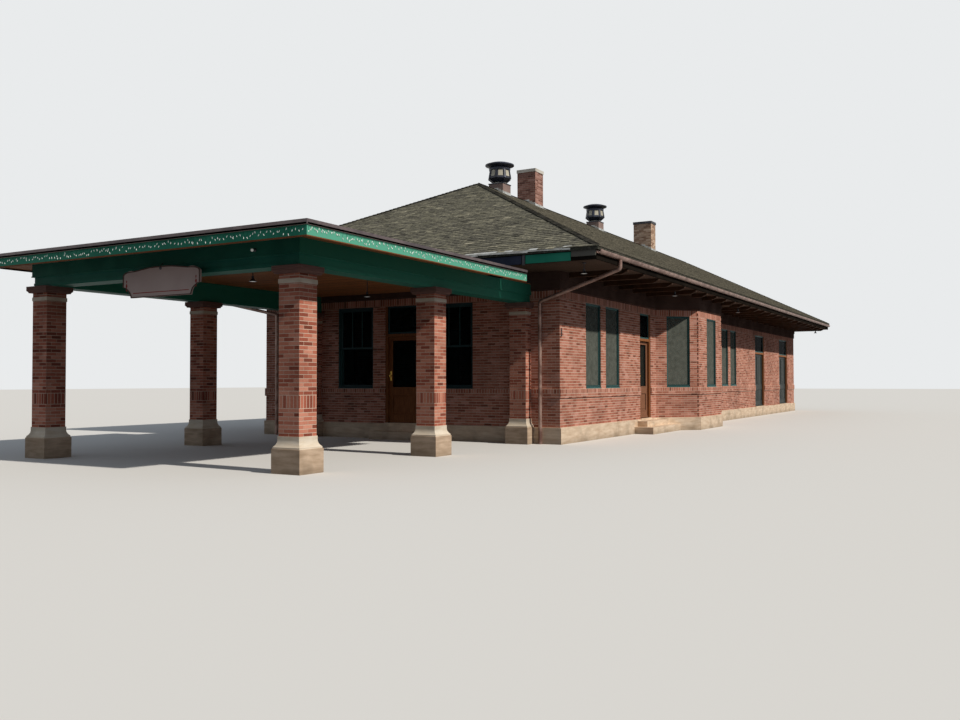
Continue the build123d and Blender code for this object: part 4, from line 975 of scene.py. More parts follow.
@dataclass
class MainRoof:
    """Hipped roof: courses of shingle tabs on its four slopes, and caps on its ridge and hips.

    Attributes:
        exposure: Height of a course that shows.
        slot: Gap between two tabs.
        butt: Height of a tab's foot over the slope, as top is of its head.
        wave: How far a course strays up and down, in waves.
        slip_rarity: The higher, the fewer tabs slip by as much as deepest_slip.
        pale_over: Share of the tabs that aren't paler than the rest.
    """

    half_width: float = 6.49
    near: float = -11.2715
    far: float = 18.8385
    eave: float = 4.28
    ridge: float = 7.48
    near_run: float = 6.42
    far_run: float = 2.4
    far_setback: float = 0.035
    exposure: float = 0.14
    lap: float = 0.02
    least_course: float = 0.03
    tab: float = 0.2
    slot: float = 0.006
    least_tab: float = 0.02
    butt: float = 0.012
    top: float = 0.003
    sunk: float = 0.004
    unevenness: float = 0.004
    wave: float = 0.003
    wave_turn: float = 0.9
    deepest_slip: float = 0.06
    slip_rarity: int = 24
    row_tint: float = 0.04
    tab_tint: float = 0.1
    cap_tint: float = 0.2
    pale_over: float = 0.985
    pale: float = 0.35
    overhang: float = 0.018
    cap_exposure: float = 0.13
    cap_lap: float = 0.015
    cap_reach: float = 0.085
    cap_butt: float = 0.036
    cap_top: float = 0.024
    seed: int = 7

    def build(self) -> None:
        """Lays the four slopes and the caps."""
        half, length, over = self.half_width, self.far - self.near, self.overhang
        hips, sides = (self.near_run, self.far_run), (half, half)
        slopes = (
            Slope("right_slope_shingles", (half, self.near), (0, 1), (-1, 0), length, half, hips, over,
                  MOSS_AND_SHADE_SHINGLE),
            Slope("left_slope_shingles", (-half, self.near), (0, 1), (1, 0), length, half, hips, over),
            Slope("near_slope_shingles", (-half, self.near), (1, 0), (0, 1), 2 * half, self.near_run, sides,
                  over),
            Slope("far_slope_shingles", (-half, self.far), (1, 0), (0, -1), 2 * half, self.far_run, sides,
                  -self.far_setback))
        for number, slope in enumerate(slopes):
            self.lay(slope, np.random.default_rng(self.seed + number))
        self.caps()

    def lay(self, slope: Slope, draw: np.random.Generator) -> None:
        """Lays the tabs of one slope, course by course.

        Args:
            slope: The slope.
            draw: What its random numbers come from.
        """
        rise = self.ridge - self.eave
        slant = math.hypot(slope.run, rise)
        origin = np.array([*slope.corner, self.eave])
        side = np.array([*slope.along, 0.0])
        up_slope = np.array([slope.inward[0] * slope.run, slope.inward[1] * slope.run, rise]) / slant
        normal = np.array([-slope.inward[0] * rise, -slope.inward[1] * rise, slope.run]) / slant
        points, faces, shades = [], [], []
        for row in range(int(slant / self.exposure) + 1):
            low, high = row * self.exposure, min((row + 1) * self.exposure + self.lap, slant)
            if low > slant - self.least_course:
                break
            past_eave = slope.overhang if row == 0 else 0.0
            first, top_first = (height / slant * slope.leans[0] for height in (low, high))
            last, top_last = (slope.length - height / slant * slope.leans[1] for height in (low, high))
            tone = draw.normal(0, self.row_tint)
            place = first - draw.uniform(0, self.tab)
            phase = draw.uniform(0, math.tau)
            while place < last:
                end = place + self.tab + draw.normal(0, self.unevenness)
                slip = draw.normal(0, self.unevenness)
                slip += self.wave * math.sin(place * self.wave_turn + phase)
                slip -= draw.random() ** self.slip_rarity * self.deepest_slip
                bottom = max(low + slip - past_eave, -slope.overhang)
                lift = self.butt + abs(draw.normal(0, self.unevenness))
                a0, a1 = max(place + self.slot / 2, first), min(end - self.slot / 2, last)
                b0, b1 = max(a0, top_first), min(a1, top_last)
                if a1 - a0 > self.least_tab and b1 > b0:
                    start = len(points)
                    for level in ((lift, self.top), (-self.sunk, -self.sunk)):
                        for s, t, h in ((a0, bottom, level[0]), (a1, bottom, level[0]), (b1, high, level[1]),
                                        (b0, high, level[1])):
                            points.append(origin + side * s + up_slope * t + normal * h)
                    faces += [tuple(start + corner for corner in face) for face in
                              ((0, 1, 2, 3), (4, 5, 1, 0), (5, 6, 2, 1), (7, 4, 0, 3))]
                    shade = 0.5 + tone + draw.normal(0, self.tab_tint)
                    shades += [shade + (draw.random() > self.pale_over) * self.pale] * 4
                place = end
        self.sheet(slope.name, points, faces, shades, slope.finish)

    def caps(self) -> None:
        """Lays the bent caps up the four hips and along the ridge, in place of the plain strips."""
        draw = Random(self.seed)
        half, rise = self.half_width, self.ridge - self.eave
        near_peak = Vector((0, self.near + self.near_run, self.ridge))
        far_peak = Vector((0, self.far - self.far_run, self.ridge))
        east, west = (Vector((side * rise, 0, half)).normalized() for side in (1, -1))
        south = Vector((0, -rise, self.near_run)).normalized()
        north = Vector((0, rise, self.far_run)).normalized()
        runs = [(Vector((half, self.near, self.eave)), near_peak, south, east),
                (Vector((-half, self.near, self.eave)), near_peak, west, south),
                (Vector((half, self.far, self.eave)), far_peak, east, north),
                (Vector((-half, self.far, self.eave)), far_peak, north, west),
                (near_peak, far_peak, west, east)]
        points, faces, shades = [], [], []
        for start, end, left_normal, right_normal in runs:
            run = (end - start).normalized()
            crown = (left_normal + right_normal).normalized()
            left = left_normal.cross(run).normalized()
            right = run.cross(right_normal).normalized()
            left = -left if left.dot(crown) > 0 else left
            right = -right if right.dot(crown) > 0 else right
            count = int((end - start).length / self.cap_exposure)
            for number in range(count):
                low = start + run * number * self.cap_exposure
                high = low + run * (self.cap_exposure + self.cap_lap)
                skew = draw.gauss(0, self.unevenness)
                outline = []
                for spot, lift in ((low, self.cap_butt), (high, self.cap_top)):
                    outline += [spot + left * (self.cap_reach + skew) + left_normal * lift,
                                spot + crown * lift * 1.1,
                                spot + right * (self.cap_reach - skew) + right_normal * lift]
                outline += [low + left * self.cap_reach + left_normal * self.sunk, low,
                            low + right * self.cap_reach + right_normal * self.sunk]
                first = len(points)
                points += [self.inside(spot) for spot in outline]
                faces += [tuple(first + corner for corner in face) for face in
                          ((0, 1, 4, 3), (1, 2, 5, 4), (6, 7, 1, 0), (7, 8, 2, 1))]
                shades += [0.5 + draw.gauss(0, self.cap_tint)] * 4
        # The caps take the near-black finish: painted shade along the hips and ridge.
        caps = self.sheet("ridge_and_hip_caps", points, faces, shades, SHADE_LINE_CAP_SHINGLE)
        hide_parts("roof_caps")

    def inside(self, spot: Vector) -> Vector:
        """Trims a cap's corner back to the lines of the eaves."""
        return Vector((max(-self.half_width, min(self.half_width, spot.x)),
                       max(self.near - self.overhang, min(self.far, spot.y)), spot.z))

    def sheet(self, name: str, points: Sequence[Point], faces: Sequence[tuple[int, ...]],
              shades: Sequence[float], finish: Finish) -> bpy.types.Object:
        """Makes one piece of shingles with a shade for each face.

        Args:
            name: The piece's name.
            points: Its corners.
            faces: Corner numbers of each face.
            shades: How pale each face is, from 0 to 1.
            finish: What the shingles are.

        Returns:
            The new object.
        """
        mesh = bpy.data.meshes.new(name)
        mesh.from_pydata([tuple(float(value) for value in point) for point in points], [], faces)
        shade = mesh.attributes.new("shade", "FLOAT", "FACE")
        shade.data.foreach_set("value", np.clip(np.array(shades, np.float32), 0, 1))
        return place_piece(name, mesh, finish, "building")


def spoke(angle: float) -> Vector:
    """Unit vector in plan at an angle in radians."""
    return Vector((math.cos(angle), math.sin(angle), 0))


@dataclass
class RoofFittings:
    """Things that stand on the ridge: ventilators on brick curbs, chimneys, and their flashings.

    Attributes:
        slope: Fall of the side slopes for each metre across.
        chimneys: Middle, half widths and top of each stack.
        turn: Angle in degrees of a ventilator's first corner.
        body_line: Height and radius of a ventilator's foot, widest part and shoulder.
        panel_inset: Share of a side that is left on each hand of its pale panel.
    """

    ridge: float = 7.48
    slope: float = 3.2 / 6.49
    ventilators: Pair = (-3.5115, 4.3885)
    curb_half: float = 0.255
    curb_top: float = 7.69
    chimneys: tuple[tuple[float, float, float, float], ...] = ((-1.3315, 0.335, 0.3, 8.48),
                                                               (10.1885, 0.405, 0.3, 8.48))
    sides: int = 8
    turn: float = -34.5
    body_line: Profile = ((0.06, 0.205), (0.187, 0.365), (0.478, 0.315))
    foot_ring: Profile = ((0.03, 0.22), (0.034, 0.232), (0.052, 0.232), (0.056, 0.22))
    shoulder_ring: Profile = ((0.498, 0.33), (0.502, 0.345), (0.524, 0.34), (0.53, 0.32))
    hat_ring: Profile = ((0.604, 0.44), (0.606, 0.459), (0.64, 0.459), (0.644, 0.44))
    rib_width: float = 0.045
    rib_depth: float = 0.024
    rib_proud: float = 0.002
    panel_rise: Pair = (0.25, 0.45)
    panel_skin: Pair = (-0.004, 0.006)
    panel_inset: float = 0.22
    cap_proud: float = 0.018
    cap_sheet: float = 0.004
    cap_rise: Pair = (-0.004, 0.104)
    steps: int = 3
    flashing: float = 0.006
    upstand: float = 0.075
    apron_rise: float = 0.09
    apron_reach: float = 0.12
    apron_lift: float = 0.018
    past_stack: float = 0.02

    def build(self) -> None:
        """Builds the ventilators' panels, ribs and rings, and every flashing."""
        ribs, panels, flashing = Shape(), Shape(), Shape()
        for y in self.ventilators:
            foot = Vector((0, y, self.curb_top))
            panels.lathe(foot, self.foot_ring, 24)
            ribs.lathe(foot, self.shoulder_ring, 24)
            ribs.lathe(foot, self.hat_ring, 32)
            for side in range(self.sides):
                first, last = (math.radians(self.turn + 360 / self.sides * (side + step)) for step in (0, 1))
                self.rib(ribs, foot, first)
                self.panel(panels, foot, first, last)
            self.flash(flashing, y, self.curb_half, self.curb_half)
        for y, half_x, half_y, _ in self.chimneys:
            self.flash(flashing, y, half_x, half_y)
        self.far_cap()
        ribs.piece("ventilator_ribs", COWL_METAL, Slot.ZINC)
        panels.piece("ventilator_panels", CREAM_METAL, Slot.ZINC, bevel=0.001)
        flashing.piece("ridge_flashings", LEAD_SHEET, Slot.ZINC, bevel=0.001)

    def rib(self, ribs: Shape, foot: Vector, angle: float) -> None:
        """Adds the rib down one corner of a ventilator.

        Args:
            ribs: Shape that it is added to.
            foot: Middle of the ventilator's foot.
            angle: Direction of the corner in radians.
        """
        line = [foot + spoke(angle) * (reach + self.rib_proud) + UP * height
                for height, reach in self.body_line]
        for start, end in zip(line, line[1:]):
            ribs.bar(start, end, self.rib_width, self.rib_depth, spoke(angle))

    def panel(self, panels: Shape, foot: Vector, first: float, last: float) -> None:
        """Adds the pale panel on one side of a ventilator.

        Args:
            panels: Shape that it is added to.
            foot: Middle of the ventilator's foot.
            first: Direction of the side's first corner in radians.
            last: Direction of its last corner.
        """
        _, (wide_at, wide), (narrow_at, narrow) = self.body_line
        out, inset = spoke((first + last) / 2), self.panel_inset
        rings = []
        for proud in self.panel_skin:
            ring = []
            for height, shares in zip(self.panel_rise, ((inset, 1 - inset), (1 - inset, inset))):
                reach = wide - (wide - narrow) * (height - wide_at) / (narrow_at - wide_at)
                start, end = spoke(first) * reach, spoke(last) * reach
                ring += [foot + start.lerp(end, share) + out * proud + UP * height for share in shares]
            rings.append(ring)
        panels.skin(rings)

    def far_cap(self) -> None:
        """Builds the dark sheet turned down round the far chimney's cap."""
        y, half_x, half_y, top = self.chimneys[1]
        x1, y0, y1 = half_x + self.cap_proud, y - half_y - self.cap_proud, y + half_y + self.cap_proud
        x0, skin = -x1, self.cap_sheet
        low, high = (top + rise for rise in self.cap_rise)
        sheet = Shape()
        for near, far in (((x0 - skin, y0 - skin), (x1 + skin, y0)),
                          ((x0 - skin, y1), (x1 + skin, y1 + skin)),
                          ((x0 - skin, y0), (x0, y1)), ((x1, y0), (x1 + skin, y1))):
            sheet.box((*near, low), (*far, high))
        sheet.piece("far_chimney_cap_sheet", DARK_METAL, Slot.DARK)

    def flash(self, shape: Shape, y: float, half_x: float, half_y: float) -> None:
        """Adds stepped sheets up both slopes beside a stack, and an apron on each slope.

        Args:
            shape: Shape that they are added to.
            y: Middle of the stack along the ridge.
            half_x: Half its width across the ridge.
            half_y: Half its width along the ridge.
        """
        thick = self.flashing
        y0, y1 = y - half_y - self.past_stack, y + half_y + self.past_stack
        for side in (-1, 1):
            for end in (-1, 1):
                face = y + end * half_y
                for step in range(self.steps):
                    near, far = half_x * step / self.steps, half_x * (step + 1) / self.steps
                    low = self.ridge - self.slope * far + 0.01
                    top = self.ridge - self.slope * near + self.upstand
                    shape.box((min(side * near, side * far), min(face, face + end * thick), low),
                              (max(side * near, side * far), max(face, face + end * thick), top))
            x, foot = side * half_x, self.ridge - self.slope * half_x
            shape.box((min(x, x + side * thick), y0, foot),
                      (max(x, x + side * thick), y1, foot + self.apron_rise))
            out = x + side * self.apron_reach
            shape.skin([[(px, py, self.ridge - self.slope * abs(px) + lift)
                         for px, py in ((x, y0), (x, y1), (out, y1), (out, y0))]
                        for lift in (self.apron_lift, self.apron_lift + thick)])


@dataclass
class Patch:
    """Boards of one paint along the near eave: where they run, their foot and top, and how far proud."""

    name: str
    finish: Finish
    along: Pair
    height: Pair
    proud: float


@dataclass
class Eaves:
    """Fittings of the main eaves: gutter straps, the torn drip strip, patched boards and the bed mould.

    Attributes:
        half_width: Outer face of the side fascias, from the middle.
        near: Outer face of the near fascia.
        far: Outer face of the far one.
        near_edge: Edge of the roof over the near fascia.
        strip_drops: How far the drip strip hangs, at least and at most.
        strip_bulges: How far it stands off the edge.
        mould_line: Reach and height of the mould's profile.
    """

    half_width: float = 6.44
    near: float = -11.2215
    far: float = 18.7885
    near_edge: float = -11.2715
    gutter_top: float = 4.2
    gutter_width: float = 0.1
    gutter_height: float = 0.075
    strap_from: float = 0.1
    strap_pitch: float = 0.81
    strap_width: float = 0.026
    strap_thick: float = 0.004
    roof_edge: float = 4.28
    strip_end: float = 5.87
    strip_lengths: Pair = (0.7, 1.5)
    strip_gaps: Pair = (0.0, 0.02)
    strip_drops: Pair = (0.02, 0.055)
    strip_bulges: Pair = (0.0, 0.014)
    board_length: float = 2.4
    board_gap: float = 0.003
    patches: tuple[Patch, ...] = (
        Patch("near_fascia_navy", NAVY_PAINT, (-6.42, 4.69), (4.0, 4.19), 0.008),
        Patch("near_fascia_green", EAVE_PAINT, (4.79, 5.86), (4.004, 4.19), 0.01),
        Patch("near_fascia_bare", BARE_BOARD, (5.87, 6.43), (4.08, 4.24), 0.022),
        Patch("near_fascia_post", DARK_METAL, (4.71, 4.78), (3.975, 4.2), 0.02))
    mould_line: Profile = ((0.0, 3.56), (0.012, 3.56), (0.03, 3.585), (0.045, 3.6), (0.0, 3.6))
    seed: int = 3

    def build(self) -> None:
        """Builds every fitting."""
        self.straps()
        self.drip_strip()
        self.near_fascia()
        self.bed_mould()

    def straps(self) -> None:
        """Builds the bent straps round both gutters."""
        straps = Shape()
        count = int((self.far - self.near - 2 * self.strap_from) / self.strap_pitch)
        width, height = self.gutter_width - 0.003, self.gutter_height
        line = [(0.0, 0.012), (width, 0.012), (width, -0.012), (width * 0.93, -height * 0.5),
                (width * 0.62, -height - 0.004), (0.002, -height - 0.004)]
        for side in (-1, 1):
            for number in range(count + 1):
                y = self.near + self.strap_from + number * self.strap_pitch
                for (a, za), (b, zb) in zip(line, line[1:]):
                    straps.bar((side * (self.half_width + a), y, self.gutter_top + za),
                               (side * (self.half_width + b), y, self.gutter_top + zb), self.strap_width,
                               self.strap_thick, UP if abs(b - a) > abs(zb - za) else (side, 0, 0))
        straps.piece("gutter_straps", GUTTER_METAL, Slot.GUTTER)

    def drip_strip(self) -> None:
        """Builds the bent metal strip along the near eave, torn and sagging in places."""
        draw = Random(self.seed)
        strip = Shape()
        x, back, edge = -self.half_width, self.near_edge + 0.1, self.roof_edge
        while x < self.strip_end - 0.2:
            reach = min(draw.uniform(*self.strip_lengths), self.strip_end - x)
            drops = [draw.uniform(*self.strip_drops) for _ in range(2)]
            bulges = [draw.uniform(*self.strip_bulges) for _ in range(2)]
            ends = (x + draw.uniform(*self.strip_gaps), x + reach)
            rings = []
            for end, drop, bulge in zip(ends, drops, bulges):
                y = self.near_edge - 0.004 - bulge
                rings.append([(end, back, edge + 0.052), (end, y, edge + 0.002),
                              (end, y - 0.003, edge - drop), (end, y - 0.007, edge - drop),
                              (end, y - 0.005, edge + 0.006), (end, back, edge + 0.056)])
            strip.skin(rings)
            x += reach
        strip.piece("near_drip_strip", LEAD_SHEET, Slot.ZINC)

    def near_fascia(self) -> None:
        """Builds the patched boards along the near eave: navy, green and bare ones, and a post's end."""
        for patch in self.patches:
            boards, (x0, x1), (low, high) = Shape(), patch.along, patch.height
            count = max(1, round((x1 - x0) / self.board_length))
            for number in range(count):
                first, last = (x0 + (x1 - x0) * place / count for place in (number, number + 1))
                boards.box((first, self.near - patch.proud, low),
                           (last - self.board_gap, self.near + 0.01, high))
            boards.piece(patch.name, patch.finish, Slot.FRIEZE, bevel=0.002)

    def bed_mould(self) -> None:
        """Builds the dark mould under the frieze, mitred round every wall."""
        mould = Shape()
        for edge in Edge:
            out, rings = PLAN.out(edge), []
            for corner, step in zip(PLAN.ends(edge), (-1, 1)):
                beside = PLAN.out(Edge((edge.value + step) % len(Edge)))
                mitre = (out + beside) / (1 + out.dot(beside))
                rings.append([Vector((*corner, 0)) + mitre * reach + UP * height
                              for reach, height in self.mould_line])
            mould.skin(rings)
        mould.piece("frieze_bed_mould", FRIEZE_PAINT, Slot.FRIEZE)


@dataclass
class Window:
    """One window: its wall, the middle along it, its width and how far its blind is drawn."""

    edge: Edge
    middle: float
    width: float
    blind: float = 1.0


@dataclass
class Windows:
    """Blinds, sill boards, beads, catches and insect screens of every window.

    Attributes:
        low: Top of the brick sill.
        high: Head of the opening.
        reveal: How far the frames stand back from the wall.
        near_pair: Middle of the pair nearest the shelter, from the near corner.
        far_pair: Middle of the pair beyond the bay.
        last_pair: Middle of the hidden side's last pair.
        lights: Wall, middle and width of each doorway that has a light over it.
    """

    low: float = 1.275
    high: float = 3.38
    reveal: float = 0.048
    frame_face: float = 0.05
    frame_depth: float = 0.12
    pair_pier: float = 0.335
    width: float = 0.97
    far_width: float = 0.9
    front_width: float = 1.135
    front_offset: float = 1.49
    splay_width: float = 0.76
    bay_width: float = 1.04
    bay_blind: float = 0.35
    rear_offset: float = 1.3
    near_pair: float = 2.67
    far_pair: float = 15.29
    last_pair: float = 22.81
    sill_proud: float = 0.015
    sill_thick: float = 0.032
    sill_fillet: float = 0.013
    bead: float = 0.024
    bead_depth: float = 0.03
    bar_half: float = 0.011
    screen_side: float = 0.055
    screen_foot: float = 0.08
    blind_gap: float = 0.01
    blind_bar: float = 0.03
    screened: tuple[Edge, ...] = (Edge.RIGHT_NEAR, Edge.BAY_NEAR, Edge.BAY_FRONT, Edge.RIGHT_FAR)
    lights: tuple[tuple[Edge, float, float], ...] = (
        (Edge.FRONT, 4.59, 1.08), (Edge.RIGHT_NEAR, 5.87, 0.9), (Edge.RIGHT_FAR, 9.06, 1.7),
        (Edge.RIGHT_FAR, 13.96, 1.85))
    light_side: float = 0.072
    light_height: Pair = (2.68, 3.37)
    light_depth: Pair = (-0.084, -0.08)

    def layout(self) -> list[Window]:
        """Sets out the windows.

        Returns:
            Every window in its place.
        """
        splay = PLAN.length(Edge.BAY_NEAR)
        bay_middle = PLAN.bay_start + PLAN.bay_depth + PLAN.bay_front / 2
        windows = [Window(Edge.FRONT, PLAN.entry + side * self.front_offset, self.front_width, 0.0)
                   for side in (-1, 1)]
        windows += [Window(Edge.BAY_NEAR, splay * 0.52, self.splay_width),
                    Window(Edge.BAY_FRONT, PLAN.bay_front * 0.55, self.bay_width, self.bay_blind),
                    Window(Edge.BAY_FAR, splay * 0.48, self.splay_width)]
        for side in (-1, 1):
            beside = side * (self.width + self.pair_pier) / 2
            far_beside = side * (self.far_width + self.pair_pier) / 2
            windows += [Window(Edge.RIGHT_NEAR, self.near_pair + beside, self.width),
                        Window(Edge.RIGHT_FAR, self.far_pair - PLAN.bay_end() + far_beside, self.far_width),
                        Window(Edge.REAR, PLAN.length(Edge.REAR) / 2 + side * self.rear_offset, self.width)]
            windows += [Window(Edge.LEFT, PLAN.length(Edge.LEFT) - middle + beside, self.width)
                        for middle in (self.near_pair, bay_middle, self.far_pair, self.last_pair)]
        return windows

    def build(self) -> None:
        """Builds the pieces for all windows together."""
        blinds, sills, trims, catches, screens = (Shape() for _ in range(5))
        face, back, sill_top = -self.reveal, -self.reveal - self.frame_depth, self.low + self.sill_thick
        meeting = self.low + self.frame_face + (self.high - self.low - 2 * self.frame_face) * 0.5
        for window in self.layout():
            edge, half = window.edge, window.width / 2
            left, right = window.middle - half, window.middle + half
            PLAN.block(sills, edge, (left, right), (face - 0.01, self.sill_proud), (self.low, sill_top))
            PLAN.block(sills, edge, (left + 0.01, right - 0.01), (face, -0.03),
                       (sill_top, sill_top + self.sill_fillet))
            PLAN.border(trims, edge, (left + self.bead, right - self.bead),
                        (self.low + 0.07, self.high - self.bead), self.bead, (face, face + self.bead_depth))
            catches.lathe(PLAN.at(edge, window.middle, back + 0.02, meeting),
                          ((0, 0.018), (0.012, 0.018), (0.02, 0.008)), 10)
            if edge == Edge.FRONT:
                for part in (-1, 1):
                    bar = window.middle + part * (half - 0.095) / 3
                    PLAN.block(trims, edge, (bar - self.bar_half, bar + self.bar_half),
                               (face - 0.036, face - 0.02), (meeting, self.high - 0.09))
            if edge in self.screened:
                PLAN.block(screens, edge, (left + self.screen_side, right - self.screen_side),
                           (face - 0.016, face - 0.012),
                           (self.low + self.screen_foot, self.high - self.screen_side))
            if window.blind:
                self.blind(blinds, window, back)
        for edge, middle, width in self.lights:
            half = width / 2 - self.light_side
            PLAN.block(screens, edge, (middle - half, middle + half), self.light_depth, self.light_height)
        blinds.piece("window_blinds", BLIND, Slot.TEAL)
        sills.piece("window_sills", TEAL_PAINT, Slot.TEAL, bevel=0.004)
        trims.piece("window_staff_beads", TEAL_PAINT, Slot.TEAL, bevel=0.003)
        catches.piece("sash_catches", BRASS, Slot.BRASS)
        screens.piece("insect_screens", SCREEN, Slot.TEAL)

    def blind(self, blinds: Shape, window: Window, back: float) -> None:
        """Adds one blind and the bar at its foot.

        Args:
            blinds: Shape that they are added to.
            window: The window.
            back: Back of its frame, outwards from the wall.
        """
        side, head = self.frame_face + self.blind_gap, self.high - self.frame_face
        across = (window.middle - window.width / 2 + side, window.middle + window.width / 2 - side)
        foot = head - (self.high - self.low - 2 * self.frame_face) * window.blind
        PLAN.block(blinds, window.edge, across, (back - 0.012, back - 0.01), (foot + self.blind_bar, head))
        PLAN.block(blinds, window.edge, across, (back - 0.018, back - 0.006), (foot, foot + self.blind_bar))


@dataclass
class Walls:
    """The slotted vent in the brick beside the near corner."""

    vent_along: Pair = (0.06, 0.1)
    vent_height: Pair = (2.51, 2.67)
    rim: float = 0.012
    bars: tuple[float, ...] = (2.55, 2.59, 2.63)
    bar_width: float = 0.012

    def build(self) -> None:
        """Builds the vent's rim and bars."""
        vent = Shape()
        PLAN.border(vent, Edge.RIGHT_NEAR, self.vent_along, self.vent_height, self.rim, (0.0, self.rim))
        for height in self.bars:
            PLAN.block(vent, Edge.RIGHT_NEAR, self.vent_along, (0.0, self.rim / 2),
                       (height, height + self.bar_width))
        vent.piece("corner_vent", DARK_METAL, Slot.DARK)


@dataclass
class Leaf:
    """One door leaf: its name, wall, middle, width, CAD body and finish, and whether it has glass."""

    name: str
    edge: Edge
    middle: float
    width: float
    body: str
    finish: Finish = DOOR_PAINT
    glazed: bool = False


@dataclass
class Doors:
    """Trim of the leaves: mouldings and beads on both faces, weather bars and plates outside.

    Attributes:
        face: Outer face of a leaf, outwards from the wall.
        back: Its inner face.
        pairs: Name, middle and width of each doorway with two leaves.
        frame: Face of a door frame.
        gap: Clearance beside a leaf.
        meeting: Clearance between two leaves.
        moulding: How far the mouldings are sunk into a face and stand proud of it.
        panel_gap: How far they stand in from the panel's edge, as glass_gap is from the glass's.
    """

    face: float = -0.09
    back: float = -0.135
    low: float = 0.388
    high: float = 2.594
    stile: float = 0.115
    top_rail: float = 0.08
    bottom_rail: float = 0.225
    lock_low: float = 1.12
    lock_high: float = 1.3
    front_width: float = 0.968
    side_middle: float = 5.87
    side_width: float = 0.788
    pairs: tuple[tuple[str, float, float], ...] = (("baggage", 20.36, 1.7), ("freight", 25.26, 1.85))
    frame: float = 0.05
    gap: float = 0.006
    meeting: float = 0.007
    moulding: Pair = (0.002, 0.008)
    panel_gap: float = 0.02
    panel_bead: float = 0.03
    glass_gap: float = 0.014
    glass_bead: float = 0.024
    field_inset: float = 0.06
    weather_bar: float = 0.025
    plate_along: Pair = (0.035, 0.09)
    plate_height: Pair = (1.48, 1.72)
    plate_thick: float = 0.003
    keyhole: Profile = ((0, 0.012), (0.006, 0.012), (0.01, 0.006))
    keyhole_height: float = 1.515

    def leaves(self) -> list[Leaf]:
        """Sets out the leaves.

        Returns:
            Every leaf in its place.
        """
        found = [Leaf("front_door", Edge.FRONT, PLAN.entry, self.front_width, "front_door_leaf",
                      BROWN_TIMBER, True),
                 Leaf("side_door", Edge.RIGHT_NEAR, self.side_middle, self.side_width, "side_door_leaf",
                      SUNNED_TIMBER, True)]
        for name, middle, width in self.pairs:
            leaf = (width - 2 * self.frame - 2 * self.gap - self.meeting) / 2
            for side, where in ((-1, "near"), (1, "far")):
                place = middle - PLAN.bay_end() + side * (leaf + self.meeting) / 2
                found.append(Leaf(f"{name}_door_{where}", Edge.RIGHT_FAR, place, leaf,
                                  f"{name}_leaf_{where}"))
        return found

    def build(self) -> None:
        """Builds the trim of each leaf on its own body."""
        for leaf in self.leaves():
            self.mouldings(leaf)
            if leaf.name == "side_door":
                self.curtain(leaf)
            if leaf.glazed:
                self.plate(leaf)

    def sides(self, leaf: Leaf, inset: float) -> Pair:
        """Two places along the wall, so far in from the leaf's sides."""
        return leaf.middle - leaf.width / 2 + inset, leaf.middle + leaf.width / 2 - inset

    def mouldings(self, leaf: Leaf) -> None:
        """Builds one leaf's mouldings, raised field and weather bar.

        Args:
            leaf: The leaf.
        """
        trim = Shape()
        (sunk, proud), panel_gap, glass_gap = self.moulding, self.panel_gap, self.glass_gap
        panel_low, glass_high = self.low + self.bottom_rail, self.high - self.top_rail
        for out in ((self.face - sunk, self.face + proud), (self.back - proud, self.back + sunk)):
            PLAN.border(trim, leaf.edge, self.sides(leaf, self.stile + panel_gap),
                        (panel_low + panel_gap, self.lock_low - panel_gap), self.panel_bead, out)
            PLAN.border(trim, leaf.edge, self.sides(leaf, self.stile + glass_gap),
                        (self.lock_high + glass_gap, glass_high - glass_gap), self.glass_bead, out)
        deep, inset = self.face - 0.014, self.field_inset
        PLAN.block(trim, leaf.edge, self.sides(leaf, self.stile + inset), (deep, deep + 0.01),
                   (panel_low + inset, self.lock_low - inset))
        PLAN.block(trim, leaf.edge, self.sides(leaf, 0.02), (self.face, self.face + self.weather_bar),
                   (self.low + 0.03, self.low + 0.07))
        slot = Slot.TIMBER if leaf.glazed else Slot.TEAL
        trim.piece(f"{leaf.name}_mouldings", leaf.finish, slot, leaf.body, bevel=0.002)

    def curtain(self, leaf: Leaf) -> None:
        """Builds the curtain behind a leaf's glass.

        Args:
            leaf: The leaf.
        """
        curtain = Shape()
        PLAN.block(curtain, leaf.edge, self.sides(leaf, self.stile + 0.004),
                   (self.back - 0.012, self.back - 0.009),
                   (self.lock_high + 0.03, self.high - self.top_rail - 0.03))
        curtain.piece(f"{leaf.name}_curtain", CURTAIN, Slot.CREAM, leaf.body)

    def plate(self, leaf: Leaf) -> None:
        """Builds the brass plate with its keyhole boss.

        Args:
            leaf: The leaf.
        """
        plate, edge = Shape(), leaf.middle - leaf.width / 2
        first, last = (edge + place for place in self.plate_along)
        PLAN.block(plate, leaf.edge, (first, last), (self.face, self.face + self.plate_thick),
                   self.plate_height)
        plate.lathe(PLAN.at(leaf.edge, edge + sum(self.plate_along) / 2, self.face, self.keyhole_height),
                    self.keyhole, 10, PLAN.out(leaf.edge))
        plate.piece(f"{leaf.name}_plate", BRASS, Slot.BRASS, leaf.body, bevel=0.0008)


